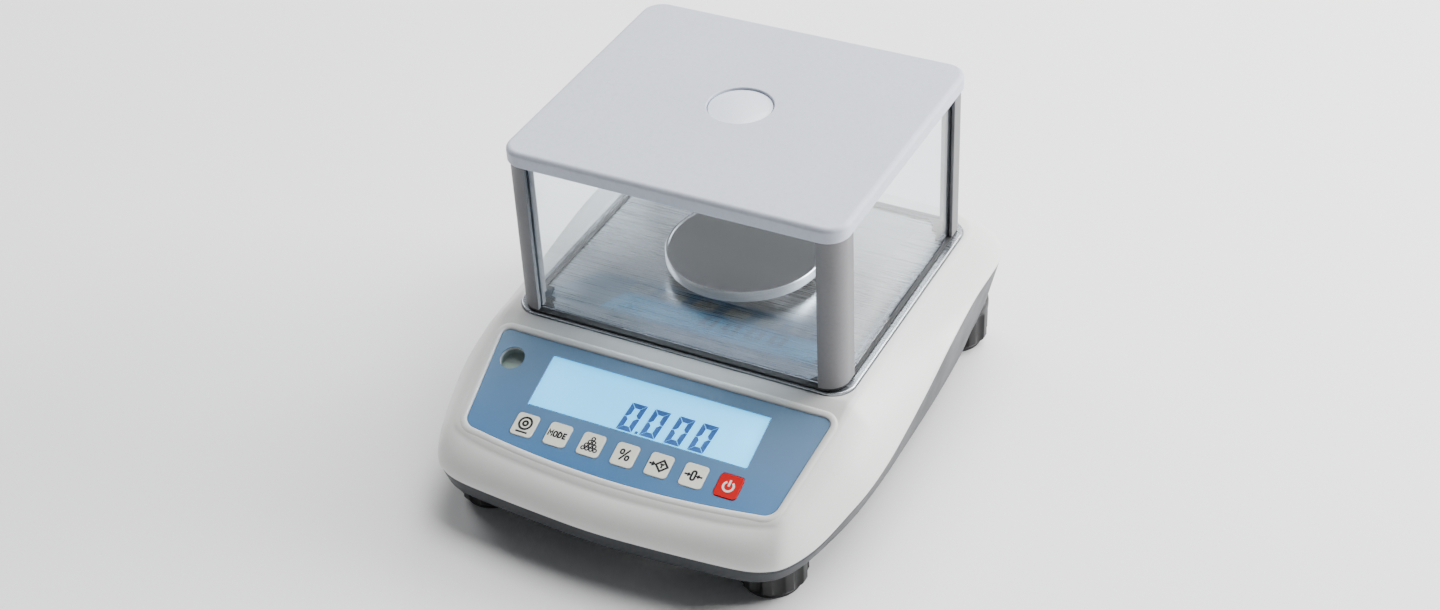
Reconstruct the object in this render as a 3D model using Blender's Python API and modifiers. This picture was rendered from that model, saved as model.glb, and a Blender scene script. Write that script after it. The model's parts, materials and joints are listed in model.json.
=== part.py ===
"""Precision balance with a glass draft shield: every sub-part is its own object, in metres, +Z up.

The origin is on the ground plane, at the middle of the balance's footprint. +X is to the right and
+Y to the back, as seen by a person who reads the display.
"""

import math

import bmesh
import bpy
from mathutils import Matrix, Vector

MM = 0.001
GAP = 0.3 * MM  # clearance between pieces that touch on the real balance

# Case: plan
BODY_DEPTH = 265.0 * MM
TRAY_WIDTH = 178.0 * MM
TRAY_DEPTH = 154.0 * MM
TRAY_CORNER_R = 12.0 * MM
TRAY_THICKNESS = 1.9 * MM
TRAY_PROUD = 1.2 * MM
TRAY_RECESS = 1.0 * MM
REAR_MARGIN = 23.2 * MM  # from the tray's recess to the back of the case
SIDE_MARGIN = 4.7 * MM  # from the tray's recess to the crease at each side
FOLD_MARGIN = 1.0 * MM  # from the tray's recess to the top of the sloping panel
SIDE_BAND = 17.4 * MM  # width of the band between the crease and the widest edge
FRONT_BAND = 12.2 * MM

# Case: heights
PLATEAU_Z = 70.0 * MM
PANEL_FRONT_Z = 43.0 * MM
CREASE_DROP = 1.2 * MM
SHOULDER = 3.4 * MM
FRONT_EDGE_Z = 28.7 * MM
SIDE_EDGE_Z = 43.6 * MM
REAR_EDGE_Z = 59.9 * MM
BACK_EDGE_Z = 57.0 * MM
BASE_Z = 20.2 * MM
BASE_ROUND = 1.2 * MM
WALL = 2.5 * MM
LIP = 0.64 * WALL  # height of the upright lip where the two case halves meet
EDGE_STEP = 0.7 * MM  # how far the lower case stands in from the upper one

# Draft shield
SHIELD_HEIGHT = 83.6 * MM
SHIELD_WIDTH = 172.4 * MM
SHIELD_DEPTH = 152.6 * MM
POST_FACE = 11.6 * MM
POST_SIDE = 16.3 * MM
POST_R = 10.5 * MM
POST_WALL = 2.5 * MM
POST_SIDE_WALL = 1.6 * MM
POST_INNER = 3.2 * MM
GLASS = 2.0 * MM
SLOT_DEPTH = 5.2 * MM
GASKET = 0.9 * MM
GASKET_LOBE = 12.0 * MM
LID_WIDTH = 175.0 * MM
LID_DEPTH = 154.0 * MM
LID_THICKNESS = 8.1 * MM
LID_CORNER_R = 11.0 * MM
LID_EDGE_R = 1.5 * MM
LID_RIM = 16.5 * MM
LID_POCKET = 4.5 * MM
PLUG_R = 15.6 * MM
PLUG_BACK = 1.8 * MM
PLUG_SUNK = 1.0 * MM
PLUG_DISC = 1.6 * MM
PLUG_LIP = 2.2 * MM

# Weighing system
PAN_R = 40.0 * MM
PAN_TOP = 11.2 * MM  # above the tray
PAN_SKIRT = 5.7 * MM
PAN_SHEET = 0.9 * MM
PAN_BACK = 1.8 * MM
HEAD_R = 24.0 * MM
COLUMN_R = 5.0 * MM
COLUMN_CLEARANCE = 3.0 * MM
CELL_LENGTH = 130.0 * MM
CELL_WIDTH = 22.0 * MM
CELL_HEIGHT = 24.0 * MM
CELL_BORE_R = 8.0 * MM
CELL_BORE_PITCH = 32.0 * MM
CELL_SLOT = 4.0 * MM
CELL_END = 30.0 * MM
ARM_THICKNESS = 5.0 * MM
SPACER_HEIGHT = 3.4 * MM
BASE_PLATE = 4.0 * MM
BASE_PLATE_WIDTH = 60.0 * MM

# Panel: distances along the slope, down from the fold
OVERLAY_TOP = 10.3 * MM
OVERLAY_LENGTH = 61.2 * MM
OVERLAY_TOP_INSET = 6.7 * MM
OVERLAY_BOTTOM_INSET = 12.3 * MM
OVERLAY_TOP_R = 4.0 * MM
OVERLAY_BOTTOM_R = 6.5 * MM
OVERLAY_BOW = 5.6 * MM
OVERLAY_SHEET = 0.6 * MM
OVERLAY_POCKET = 1.2 * MM
LCD_WIDTH = 115.5 * MM
LCD_HEIGHT = 28.2 * MM
LCD_DOWN = 31.8 * MM
LCD_RIGHT = 1.7 * MM
LCD_FRAME = 2.0 * MM
LCD_THICKNESS = 5.6 * MM
KEY_WIDTH = 11.7 * MM
KEY_HEIGHT = 12.3 * MM
KEY_R = 2.0 * MM
KEY_PITCH = 17.9 * MM
KEY_DOWN = 57.2 * MM
KEY_RIGHT = 1.8 * MM
KEY_CAP = 0.8 * MM
KEY_PROUD = 0.05 * MM
STEM_R = 2.0 * MM
LEVEL_HOLE_R = 6.3 * MM
LEVEL_LEFT = 75.8 * MM
LEVEL_DOWN = 24.9 * MM
VIAL_R = 7.4 * MM
VIAL_HEIGHT = 8.5 * MM
BOARD = 1.6 * MM
SWITCH = 6.0 * MM
SWITCH_HEIGHT = 0.8 * MM
KEY_NAMES = ("calibrate", "mode", "count", "percent", "tare", "zero", "power")

# Feet
FOOT_R = 17.2 * MM
FOOT_TOP = 28.0 * MM
FOOT_ROUND = 3.0 * MM
FOOT_FLUTES = 10
FLUTE_R = 4.2 * MM
PAD_R = 14.2 * MM
PAD_HEIGHT = 3.0 * MM
STUD_R = 3.0 * MM
STUD_TOP = 42.0 * MM
POCKET_CLEARANCE = 1.2 * MM
POCKET_WALL = 1.8 * MM
FRONT_FOOT_MARGINS = (18.8 * MM, 16.8 * MM)  # from the knob to the widest edge, and to the front edge
REAR_FOOT_MARGINS = (10.2 * MM, 10.3 * MM)  # from the knob to the widest edge, and to the back edge

# Electrics and fasteners
BATTERY = (44.0 * MM, 66.0 * MM, 22.0 * MM)
BATTERY_X = -57.0 * MM
BATTERY_Y = -10.0 * MM
DOOR_INSET = 2.0 * MM
MAIN_BOARD = (44.0 * MM, 96.0 * MM)
MAIN_BOARD_X = 57.0 * MM
MAIN_BOARD_Y = 2.0 * MM
STANDOFF = 2.3 * MM
STANDOFF_R = 2.6 * MM
STANDOFF_INSET = 5.0 * MM
JACK_X = -48.0 * MM
PORT_X = 46.0 * MM
PORT_Z = 38.0 * MM
JACK_SIZE = (10.0 * MM, 14.0 * MM, 11.0 * MM)
JACK_BORE_R = 3.3 * MM
JACK_PIN_R = 1.0 * MM
SERIAL_SIZE = (30.8 * MM, 12.5 * MM)
SERIAL_SHELL = (17.0 * MM, 8.6 * MM)
SCREW_X = 86.0 * MM
SCREW_YS = (-20.0 * MM, 66.0 * MM)
SCREW_R = 1.9 * MM
SCREW_HEAD_R = 3.8 * MM
SCREW_HEAD = 2.4 * MM
SCREW_LENGTH = 14.0 * MM
BOSS_R = 5.0 * MM
BOSS_GAP = 3.0 * MM  # from the floor of the case to the upper bosses
BOLT_R = 2.5 * MM
BOLT_SHARES = (0.28, 0.75)  # each bolt's place along the load cell's end
RIBBON_WIDTH = 16.0 * MM
RIBBON_THICKNESS = 0.5 * MM

# Derived places
FRONT_Y = -BODY_DEPTH / 2
BACK_Y = BODY_DEPTH / 2
RECESS_WIDTH = TRAY_WIDTH + 2 * GAP
RECESS_DEPTH = TRAY_DEPTH + 2 * GAP
TRAY_Y = BACK_Y - REAR_MARGIN - RECESS_DEPTH / 2
TRAY_Z = PLATEAU_Z + TRAY_PROUD
FOLD_Y = TRAY_Y - RECESS_DEPTH / 2 - FOLD_MARGIN
CREASE_X = RECESS_WIDTH / 2 + SIDE_MARGIN
CREASE_FRONT_Y = FRONT_Y + FRONT_BAND
PANEL_RUN = FOLD_Y - CREASE_FRONT_Y
PANEL_ANGLE = math.atan2(PLATEAU_Z - PANEL_FRONT_Z, PANEL_RUN)
PAN_Y = TRAY_Y + PAN_BACK
PAN_TOP_Z = TRAY_Z + PAN_TOP
FLOOR_Z = BASE_Z + WALL
POST_Z = TRAY_Z + GAP + GASKET + GAP
POST_TOP_Z = TRAY_Z + SHIELD_HEIGHT - GAP
LID_Z = TRAY_Z + SHIELD_HEIGHT
LID_TOP_Z = LID_Z + LID_THICKNESS
BASE_PLATE_Z = FLOOR_Z + GAP
SPACER_Z = BASE_PLATE_Z + BASE_PLATE + GAP
CELL_Z = SPACER_Z + SPACER_HEIGHT + GAP
ARM_Z = CELL_Z + CELL_HEIGHT + GAP
COLUMN_Z = ARM_Z + ARM_THICKNESS + GAP
POCKET_R = FOOT_R + POCKET_CLEARANCE
POCKET_TOP = FOOT_TOP + POCKET_CLEARANCE
POCKET_ROUND = FOOT_ROUND + POCKET_CLEARANCE
OVERLAY_BACK = OVERLAY_POCKET - GAP  # depth of the overlay's underside below the panel
STEM_BOTTOM = OVERLAY_POCKET + 6.1 * MM
BOARD_DEPTH = STEM_BOTTOM + 0.4 * MM + SWITCH_HEIGHT
RING_STEPS = 2  # points of the case's rings to each station
STEPS = 24

parts = None
cutters = None


# Helpers

def material(name, colour, roughness, metallic=0.0, alpha=1.0):
    found = bpy.data.materials.get(name)
    if found:
        return found
    made = bpy.data.materials.new(name)
    made.use_nodes = True
    shader = made.node_tree.nodes["Principled BSDF"]
    shader.inputs["Base Color"].default_value = (*colour, 1.0)
    shader.inputs["Roughness"].default_value = roughness
    shader.inputs["Metallic"].default_value = metallic
    shader.inputs["Alpha"].default_value = alpha
    return made


def add_object(name, mesh, group, mat=None):
    obj = bpy.data.objects.new(name, mesh)
    group.objects.link(obj)
    if mat:
        mesh.materials.append(mat)
    if group is cutters:
        obj.hide_render = True
        obj.display_type = "WIRE"
    return obj


def mesh_from(name, fill):
    mesh = bpy.data.meshes.new(name)
    shape = bmesh.new()
    fill(shape)
    shape.to_mesh(mesh)
    shape.free()
    return mesh


def smooth(obj, angle=35.0):
    obj.data.shade_smooth()
    obj.data.set_sharp_from_angle(angle=math.radians(angle))
    return obj


def box(name, size, centre, group, mat=None, bevel=0.0):
    def fill(shape):
        bmesh.ops.create_cube(shape, size=1.0, matrix=Matrix.Diagonal((*size, 1.0)))

    obj = add_object(name, mesh_from(name, fill), group, mat)
    obj.location = centre
    if bevel:
        add_bevel(obj, bevel)
    return obj


def add_bevel(obj, width, segments=2, angle=40.0):
    bevel = obj.modifiers.new("rounded edges", "BEVEL")
    bevel.width = width
    bevel.segments = segments
    bevel.limit_method = "ANGLE"
    bevel.angle_limit = math.radians(angle)
    return bevel


def turned(name, profile, centre, group, mat=None, steps=STEPS):
    """A closed turned solid. The profile is (radius, z) pairs, from the top of the axis to its bottom."""
    def fill(shape):
        points = [shape.verts.new((radius, 0.0, z)) for radius, z in profile]
        for first, second in zip(points, points[1:]):
            shape.edges.new((first, second))

    obj = add_object(name, mesh_from(name, fill), group, mat)
    obj.location = centre
    screw = obj.modifiers.new("turn", "SCREW")
    screw.steps = steps
    screw.render_steps = steps
    screw.use_merge_vertices = True
    screw.merge_threshold = 1e-5
    screw.use_smooth_shade = True
    return obj


def cylinder(name, radius, low, high, centre, group, mat=None, steps=STEPS):
    return turned(name, ((0.0, high), (radius, high), (radius, low), (0.0, low)), centre, group, mat, steps)


def arc(centre, radius, start, end, count):
    """Points on an arc, with angles in degrees."""
    turn = [math.radians(start + (end - start) * step / count) for step in range(count + 1)]
    return [(centre[0] + radius * math.cos(a), centre[1] + radius * math.sin(a)) for a in turn]


def rounded_rectangle(width, depth, radius, count=6):
    """The outline of a rectangle about the origin, counter-clockwise."""
    x, y = width / 2 - radius, depth / 2 - radius
    return (arc((x, -y), radius, -90, 0, count) + arc((x, y), radius, 0, 90, count)
            + arc((-x, y), radius, 90, 180, count) + arc((-x, -y), radius, 180, 270, count))


def moved(outline, x, y):
    return [(px + x, py + y) for px, py in outline]


def plate(name, outlines, low, high, group, mat=None):
    """A flat solid between two heights, from a filled 2D curve whose inner outlines are holes."""
    curve = bpy.data.curves.new(name, "CURVE")
    curve.dimensions = "2D"
    curve.fill_mode = "BOTH"
    curve.extrude = (high - low) / 2
    for outline in outlines:
        spline = curve.splines.new("POLY")
        spline.points.add(len(outline) - 1)
        for point, (x, y) in zip(spline.points, outline):
            point.co = (x, y, 0.0, 1.0)
        spline.use_cyclic_u = True
    shape = bpy.data.objects.new(name + "_outline", curve)
    cutters.objects.link(shape)
    bpy.context.view_layer.update()
    graph = bpy.context.evaluated_depsgraph_get()
    mesh = bpy.data.meshes.new_from_object(shape.evaluated_get(graph))
    bpy.data.objects.remove(shape)
    welded = bmesh.new()
    welded.from_mesh(mesh)
    bmesh.ops.remove_doubles(welded, verts=welded.verts, dist=1e-6)
    bmesh.ops.translate(welded, verts=welded.verts, vec=(0.0, 0.0, (low + high) / 2))
    bmesh.ops.recalc_face_normals(welded, faces=welded.faces)
    welded.to_mesh(mesh)
    welded.free()
    mesh.name = name
    return add_object(name, mesh, group, mat)


def joined(name, solids, group, mat=None):
    """Several closed solids as one mesh, in world space. A union then melts them into their host."""
    combined = bmesh.new()
    bpy.context.view_layer.update()
    graph = bpy.context.evaluated_depsgraph_get()
    for solid in solids:
        mesh = bpy.data.meshes.new_from_object(solid.evaluated_get(graph))
        mesh.transform(solid.matrix_world)
        combined.from_mesh(mesh)
        bpy.data.meshes.remove(mesh)
        bpy.data.objects.remove(solid)
    mesh = bpy.data.meshes.new(name)
    combined.to_mesh(mesh)
    combined.free()
    return add_object(name, mesh, group, mat)


def boolean(obj, tool, operation="DIFFERENCE"):
    modifier = obj.modifiers.new(operation.lower() + " " + tool.name, "BOOLEAN")
    modifier.operation = operation
    modifier.object = tool
    modifier.solver = "EXACT"
    modifier.use_self = operation == "UNION"
    return modifier


def panel_point(x, down, out=0.0):
    """The world point at x, so far down the sloping panel, and so far out from it."""
    return Vector((x, FOLD_Y - down * math.cos(PANEL_ANGLE) - out * math.sin(PANEL_ANGLE),
                   PLATEAU_Z - down * math.sin(PANEL_ANGLE) + out * math.cos(PANEL_ANGLE)))


def on_panel(obj, panel):
    """Parents an object built in panel coordinates: x, up the slope, and out of it."""
    obj.parent = panel
    return obj


# Case surfaces: rings of points, from the shoulder out to the widest edge and down to the base

def stations():
    """The right half of the case's plan: each entry is a crease point, an edge point and a base point."""
    edge_x = CREASE_X + SIDE_BAND
    side_y = (FOLD_Y + TRAY_Y) / 2

    def panel_y(share):
        return FOLD_Y - share * PANEL_RUN

    def crease(x, y):
        z = PLATEAU_Z if y > FOLD_Y else PLATEAU_Z - (FOLD_Y - y) * math.tan(PANEL_ANGLE)
        return (x, y, z - CREASE_DROP)

    def row(crease_xy, edge, base_xy):
        return (crease(*crease_xy), edge, (*base_xy, BASE_Z))

    front, back = FRONT_Y, BACK_Y
    return [
        row((0.0, panel_y(1.0)), (0.0, front, FRONT_EDGE_Z), (0.0, front + 1.3 * MM)),
        row((0.27 * CREASE_X, panel_y(0.99)), (0.25 * edge_x, front + 1.2 * MM, FRONT_EDGE_Z),
            (0.25 * edge_x, front + 2.5 * MM)),
        row((0.56 * CREASE_X, panel_y(0.963)), (0.52 * edge_x, front + 3.5 * MM, FRONT_EDGE_Z),
            (0.52 * edge_x, front + 4.8 * MM)),
        row((CREASE_X - 25.0 * MM, panel_y(0.935)), (edge_x - 35.4 * MM, front + 5.8 * MM, FRONT_EDGE_Z),
            (edge_x - 35.9 * MM, front + 7.3 * MM)),
        row((CREASE_X - 13.9 * MM, panel_y(0.90)),
            (edge_x - 25.4 * MM, front + 9.7 * MM, FRONT_EDGE_Z + 0.1 * MM),
            (edge_x - 26.9 * MM, front + 11.5 * MM)),
        row((CREASE_X - 8.2 * MM, panel_y(0.86)),
            (edge_x - 19.4 * MM, front + 15.0 * MM, FRONT_EDGE_Z + 0.3 * MM),
            (edge_x - 21.4 * MM, front + 17.0 * MM)),
        row((CREASE_X - 5.8 * MM, panel_y(0.78)),
            (edge_x - 13.9 * MM, front + 25.0 * MM, FRONT_EDGE_Z + 1.0 * MM),
            (edge_x - 16.9 * MM, front + 26.5 * MM)),
        row((CREASE_X - 5.0 * MM, panel_y(0.655)),
            (edge_x - 9.6 * MM, front + 36.5 * MM, FRONT_EDGE_Z + 2.9 * MM),
            (edge_x - 13.9 * MM, front + 37.5 * MM)),
        row((CREASE_X - 3.5 * MM, panel_y(0.48)),
            (edge_x - 5.4 * MM, front + 52.0 * MM, FRONT_EDGE_Z + 6.5 * MM),
            (edge_x - 10.9 * MM, front + 52.5 * MM)),
        row((CREASE_X - 1.9 * MM, panel_y(0.31)),
            (edge_x - 2.1 * MM, front + 66.5 * MM, SIDE_EDGE_Z - 5.4 * MM),
            (edge_x - 8.8 * MM, front + 66.5 * MM)),
        row((CREASE_X - 0.7 * MM, panel_y(0.09)),
            (edge_x - 0.4 * MM, front + 82.5 * MM, SIDE_EDGE_Z - 2.6 * MM),
            (edge_x - 7.6 * MM, front + 82.5 * MM)),
        row((CREASE_X, side_y - 25.0 * MM), (edge_x, side_y - 25.0 * MM, SIDE_EDGE_Z),
            (edge_x - 7.0 * MM, side_y - 25.0 * MM)),
        row((CREASE_X, side_y + 7.0 * MM), (edge_x - 0.3 * MM, side_y + 7.0 * MM, SIDE_EDGE_Z + 5.2 * MM),
            (edge_x - 7.0 * MM, side_y + 7.0 * MM)),
        row((CREASE_X, TRAY_Y), (edge_x - 0.8 * MM, TRAY_Y, REAR_EDGE_Z - 4.4 * MM),
            (edge_x - 7.4 * MM, TRAY_Y)),
        row((CREASE_X, TRAY_Y + 32.0 * MM), (edge_x - 1.4 * MM, TRAY_Y + 32.0 * MM, REAR_EDGE_Z),
            (edge_x - 8.8 * MM, TRAY_Y + 32.0 * MM)),
        row((CREASE_X, back - 42.5 * MM), (edge_x - 1.8 * MM, back - 44.5 * MM, REAR_EDGE_Z - 0.5 * MM),
            (edge_x - 11.4 * MM, back - 44.5 * MM)),
        row((CREASE_X - 0.8 * MM, back - 29.5 * MM),
            (edge_x - 3.6 * MM, back - 26.5 * MM, BACK_EDGE_Z + 0.4 * MM),
            (edge_x - 12.4 * MM, back - 27.5 * MM)),
        row((CREASE_X - 4.5 * MM, back - 21.0 * MM), (edge_x - 8.4 * MM, back - 16.5 * MM, BACK_EDGE_Z),
            (edge_x - 16.4 * MM, back - 18.5 * MM)),
        row((CREASE_X - 12.0 * MM, back - 15.7 * MM), (edge_x - 17.9 * MM, back - 8.0 * MM, BACK_EDGE_Z),
            (edge_x - 25.4 * MM, back - 10.5 * MM)),
        row((CREASE_X - 24.0 * MM, back - 12.9 * MM), (edge_x - 33.4 * MM, back - 3.5 * MM, BACK_EDGE_Z),
            (edge_x - 38.4 * MM, back - 6.0 * MM)),
        row((0.48 * CREASE_X, back - 11.3 * MM), (0.43 * edge_x, back - 0.7 * MM, BACK_EDGE_Z),
            (0.43 * edge_x, back - 3.3 * MM)),
        row((0.0, back - 10.5 * MM), (0.0, back, BACK_EDGE_Z), (0.0, back - 2.5 * MM)),
    ]


def closed_ring(points, samples):
    """Points on a smooth closed curve through the half's points and their mirror images in X."""
    loop = points + [Vector((-p.x, p.y, p.z)) for p in points[-2:0:-1]]
    total = len(loop)
    ring = []
    for step in range(samples):
        place = step / samples * total
        index = int(place)
        t = place - index
        a, b, c, d = (loop[(index + offset) % total] for offset in (-1, 0, 1, 2))
        ring.append(0.5 * ((2 * b) + (c - a) * t + (2 * a - 5 * b + 4 * c - d) * t * t
                           + (3 * b - a - 3 * c + d) * t * t * t))
    return ring


def inset(ring, distance):
    """The ring moved inwards in plan by a distance, along each point's own normal."""
    total = len(ring)
    result = []
    for index, point in enumerate(ring):
        along = ring[(index + 1) % total] - ring[index - 1]
        normal = Vector((-along.y, along.x, 0.0)).normalized()
        result.append(point + normal * distance)
    return result


def case_rings():
    """The case's crease, widest edge and base, as closed rings of points."""
    rows = stations()
    samples = 2 * RING_STEPS * (len(rows) - 1)
    return [closed_ring([Vector(row[column]) for row in rows], samples) for column in range(3)]


def top_height(y):
    return PLATEAU_Z if y >= FOLD_Y else PLATEAU_Z - (FOLD_Y - y) * math.tan(PANEL_ANGLE)


def raised(ring, height):
    return [Vector((p.x, p.y, p.z + height)) for p in ring]


def on_top(ring, drop):
    return [Vector((p.x, p.y, top_height(p.y) - drop)) for p in ring]


def band(crease, edge, shares):
    """Rings between the crease and the edge, bowed outwards, most of all round the front."""
    rings = []
    for share in shares:
        ring = []
        for start, end in zip(crease, edge):
            front = min(1.0, max(0.0, (FOLD_Y - start.y) / PANEL_RUN))
            out, fall = 0.62 + 0.22 * front, 0.40 - 0.16 * front
            middle = start + (end - start) * out
            middle.z = start.z + (end.z - start.z) * fall
            ring.append(start * (1 - share) ** 2 + middle * 2 * share * (1 - share) + end * share ** 2)
        rings.append(ring)
    return rings


def skin(shape, rings):
    """Faces between neighbouring rings. Returns each ring's vertices."""
    loops = [[shape.verts.new(point) for point in ring] for ring in rings]
    for upper, lower in zip(loops, loops[1:]):
        for index in range(len(upper)):
            following = (index + 1) % len(upper)
            shape.faces.new((upper[following], upper[index], lower[index], lower[following]))
    return loops


def add_solidify(obj, thickness, offset=-1.0):
    solid = obj.modifiers.new("wall", "SOLIDIFY")
    solid.thickness = thickness
    solid.offset = offset
    solid.use_even_offset = True
    return solid


def close_top(shape, ring):
    """Closes the top ring with a level face and a sloping one, which meet at the fold."""
    before_fold = [vert.co.y < FOLD_Y for vert in ring]
    corners = []
    for index in range(len(ring)):
        following = (index + 1) % len(ring)
        if before_fold[index] != before_fold[following]:
            nearest = min(index, following, key=lambda place: abs(ring[place].co.y - FOLD_Y))
            ring[nearest].co.y = FOLD_Y
            ring[nearest].co.z = PLATEAU_Z
            corners.append(nearest)
    first, second = corners
    shape.faces.new(ring[first:second + 1])
    shape.faces.new(ring[second:] + ring[:first + 1])


def upper_housing():
    crease, edge, _ = case_rings()
    shoulder = [on_top(inset(crease, SHOULDER), 0.0),
                on_top(inset(crease, 0.4 * SHOULDER), 0.25 * CREASE_DROP)]
    lip = raised(edge, LIP)

    def fill(shape):
        loops = skin(shape, shoulder + [crease] + band(crease, lip, (0.28, 0.56, 0.82, 1.0)) + [edge])
        close_top(shape, loops[0])
        bmesh.ops.recalc_face_normals(shape, faces=shape.faces)

    plastic = material("case_plastic", (0.80, 0.80, 0.79), 0.45)
    shell = add_object("upper_housing", mesh_from("upper_housing", fill), parts, plastic)
    add_solidify(shell, WALL)
    return shell


def finish_upper_housing(shell, panel):
    bosses = joined("upper_bosses", [
        cylinder("boss", BOSS_R - GAP, FLOOR_Z + BOSS_GAP, PLATEAU_Z - TRAY_RECESS - GAP,
                 (x, y, 0.0), cutters, steps=12)
        for x, y in screw_places()], cutters)
    boolean(shell, bosses, "UNION")
    recess = plate("tray_recess",
                   [moved(rounded_rectangle(RECESS_WIDTH, RECESS_DEPTH, TRAY_CORNER_R), 0.0, TRAY_Y)],
                   PLATEAU_Z - TRAY_RECESS, PLATEAU_Z + WALL, cutters)
    boolean(shell, recess)
    bores = [cylinder("column_hole", COLUMN_R + COLUMN_CLEARANCE, PLATEAU_Z - 3 * WALL, PLATEAU_Z + WALL,
                      (0.0, PAN_Y, 0.0), cutters)]
    bore_top = BASE_Z + SCREW_LENGTH + SCREW_HEAD + 2.0 * MM
    bores += [cylinder("boss_bore", SCREW_R + GAP, BASE_Z, bore_top, (x, y, 0.0), cutters, steps=12)
              for x, y in screw_places()]
    boolean(shell, joined("upper_bores", bores, cutters))

    pocket = plate("overlay_pocket", [overlay_outline(GAP)], -OVERLAY_POCKET, WALL, cutters)
    boolean(shell, on_panel(pocket, panel))
    frame = 2 * LCD_FRAME + 2 * GAP
    window = box("lcd_window", (LCD_WIDTH + frame, LCD_HEIGHT + frame, 6 * WALL),
                 (LCD_RIGHT, -LCD_DOWN, 0.0), cutters)
    boolean(shell, on_panel(window, panel))
    holes = [cylinder("stem_hole", STEM_R + 3 * GAP, -2 * WALL, WALL, (x, -KEY_DOWN, 0.0), cutters, steps=8)
             for x in key_places()]
    level_place = (-LEVEL_LEFT, -LEVEL_DOWN, 0.0)
    holes.append(cylinder("level_hole", LEVEL_HOLE_R, -2 * WALL, WALL, level_place, cutters))
    boolean(shell, on_panel(joined("panel_holes", holes, cutters), panel))
    smooth(shell)


def screw_places():
    return [(side * SCREW_X, y) for y in SCREW_YS for side in (-1, 1)]


def foot_places():
    """Each foot's corner and centre. A thicker knob stands further in from the edges."""
    edge_x = CREASE_X + SIDE_BAND
    front_x, front_y = (margin + FOOT_R for margin in FRONT_FOOT_MARGINS)
    rear_x, rear_y = (margin + FOOT_R for margin in REAR_FOOT_MARGINS)
    return {
        "front_left": (front_x - edge_x, FRONT_Y + front_y),
        "front_right": (edge_x - front_x, FRONT_Y + front_y),
        "rear_left": (rear_x - edge_x, BACK_Y - rear_y),
        "rear_right": (edge_x - rear_x, BACK_Y - rear_y),
    }


def pocket_profile(radius, top, bottom, bore, bore_top, rounding):
    """A foot's pocket with a rounded roof, and the stud's bore above it."""
    roof = [(x, z) for x, z in arc((radius - rounding, top - rounding), rounding, 90, 0, 2)]
    return [(0.0, bore_top), (bore, bore_top), (bore, top)] + roof + [(radius, bottom), (0.0, bottom)]


def lower_housing():
    _, edge, base = case_rings()
    start = [Vector((p.x, p.y, p.z - GAP)) for p in inset(edge, EDGE_STEP)]

    def rings(distance):
        top = inset(start, distance)
        lip = raised(top, -LIP)
        bottom = inset(base, distance)
        foot = raised(bottom, BASE_ROUND)
        middle = [[a.lerp(b, share) for a, b in zip(lip, foot)] for share in (0.33, 0.67)]
        return [top, lip] + middle + [foot, inset(bottom, BASE_ROUND)]

    def fill_open(shape):
        loops = skin(shape, rings(0.0))
        shape.faces.new(loops[-1])
        bmesh.ops.recalc_face_normals(shape, faces=shape.faces)

    def fill_closed(shape):
        loops = skin(shape, rings(WALL / 3))
        shape.faces.new(loops[-1])
        shape.faces.new(loops[0])
        bmesh.ops.recalc_face_normals(shape, faces=shape.faces)

    dark = material("lower_case_plastic", (0.10, 0.115, 0.135), 0.55)
    shell = add_object("lower_housing", mesh_from("lower_housing", fill_open), parts, dark)
    add_solidify(shell, WALL)

    envelope = add_object("case_envelope", mesh_from("case_envelope", fill_closed), cutters)
    outer = pocket_profile(POCKET_R + POCKET_WALL, POCKET_TOP + POCKET_WALL, BASE_Z + WALL / 3,
                           STUD_R + 3.0 * MM, STUD_TOP, POCKET_ROUND + POCKET_WALL)
    inner = pocket_profile(POCKET_R, POCKET_TOP, BASE_Z - 5.0 * MM, STUD_R + GAP, STUD_TOP + 2.0 * MM,
                           POCKET_ROUND)
    pockets, voids = [], []
    for x, y in foot_places().values():
        pocket = turned("pocket", outer, (x, y, 0.0), cutters, steps=20)
        boolean(pocket, envelope, "INTERSECT")
        pockets.append(pocket)
        voids.append(turned("pocket_void", inner, (x, y, 0.0), cutters, steps=20))
    seat = BASE_Z + 2 * GAP + SCREW_HEAD + GAP
    for x, y in screw_places():
        centre = (x, y, 0.0)
        pockets.append(cylinder("screw_boss", BOSS_R + 1.0 * MM, BASE_Z + WALL / 3, FLOOR_Z + BOSS_GAP - GAP,
                                centre, cutters, steps=12))
        voids.append(turned("screw_hole", ((0.0, FLOOR_Z + 10.0 * MM), (SCREW_R + GAP, FLOOR_Z + 10.0 * MM),
                                           (SCREW_R + GAP, seat), (SCREW_HEAD_R + GAP, seat),
                                           (SCREW_HEAD_R + GAP, BASE_Z - WALL), (0.0, BASE_Z - WALL)),
                            centre, cutters, steps=12))
    for x in (-1, 1):
        for y in (-1, 1):
            centre = (MAIN_BOARD_X + x * (MAIN_BOARD[0] / 2 - STANDOFF_INSET),
                      MAIN_BOARD_Y + y * (MAIN_BOARD[1] / 2 - STANDOFF_INSET), 0.0)
            pockets.append(cylinder("standoff", STANDOFF_R, BASE_Z + WALL / 2, FLOOR_Z + STANDOFF,
                                    centre, cutters, steps=8))
    boolean(shell, joined("lower_bosses", pockets, cutters), "UNION")
    boolean(shell, joined("lower_voids", voids, cutters))
    bpy.data.objects.remove(envelope)

    openings = [
        box("door_opening", (BATTERY[0] - 2 * DOOR_INSET, BATTERY[1] - 2 * DOOR_INSET, 4 * WALL),
            (BATTERY_X, BATTERY_Y, BASE_Z), cutters),
        box("jack_opening", (JACK_SIZE[0] + 2 * GAP, 30.0 * MM, JACK_SIZE[2] + 2 * GAP),
            (JACK_X, BACK_Y, PORT_Z), cutters),
        box("port_opening", (SERIAL_SIZE[0] + 2 * GAP, 30.0 * MM, SERIAL_SIZE[1] + 2 * GAP),
            (PORT_X, BACK_Y, PORT_Z), cutters),
    ]
    boolean(shell, joined("lower_openings", openings, cutters))
    smooth(shell)


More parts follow.
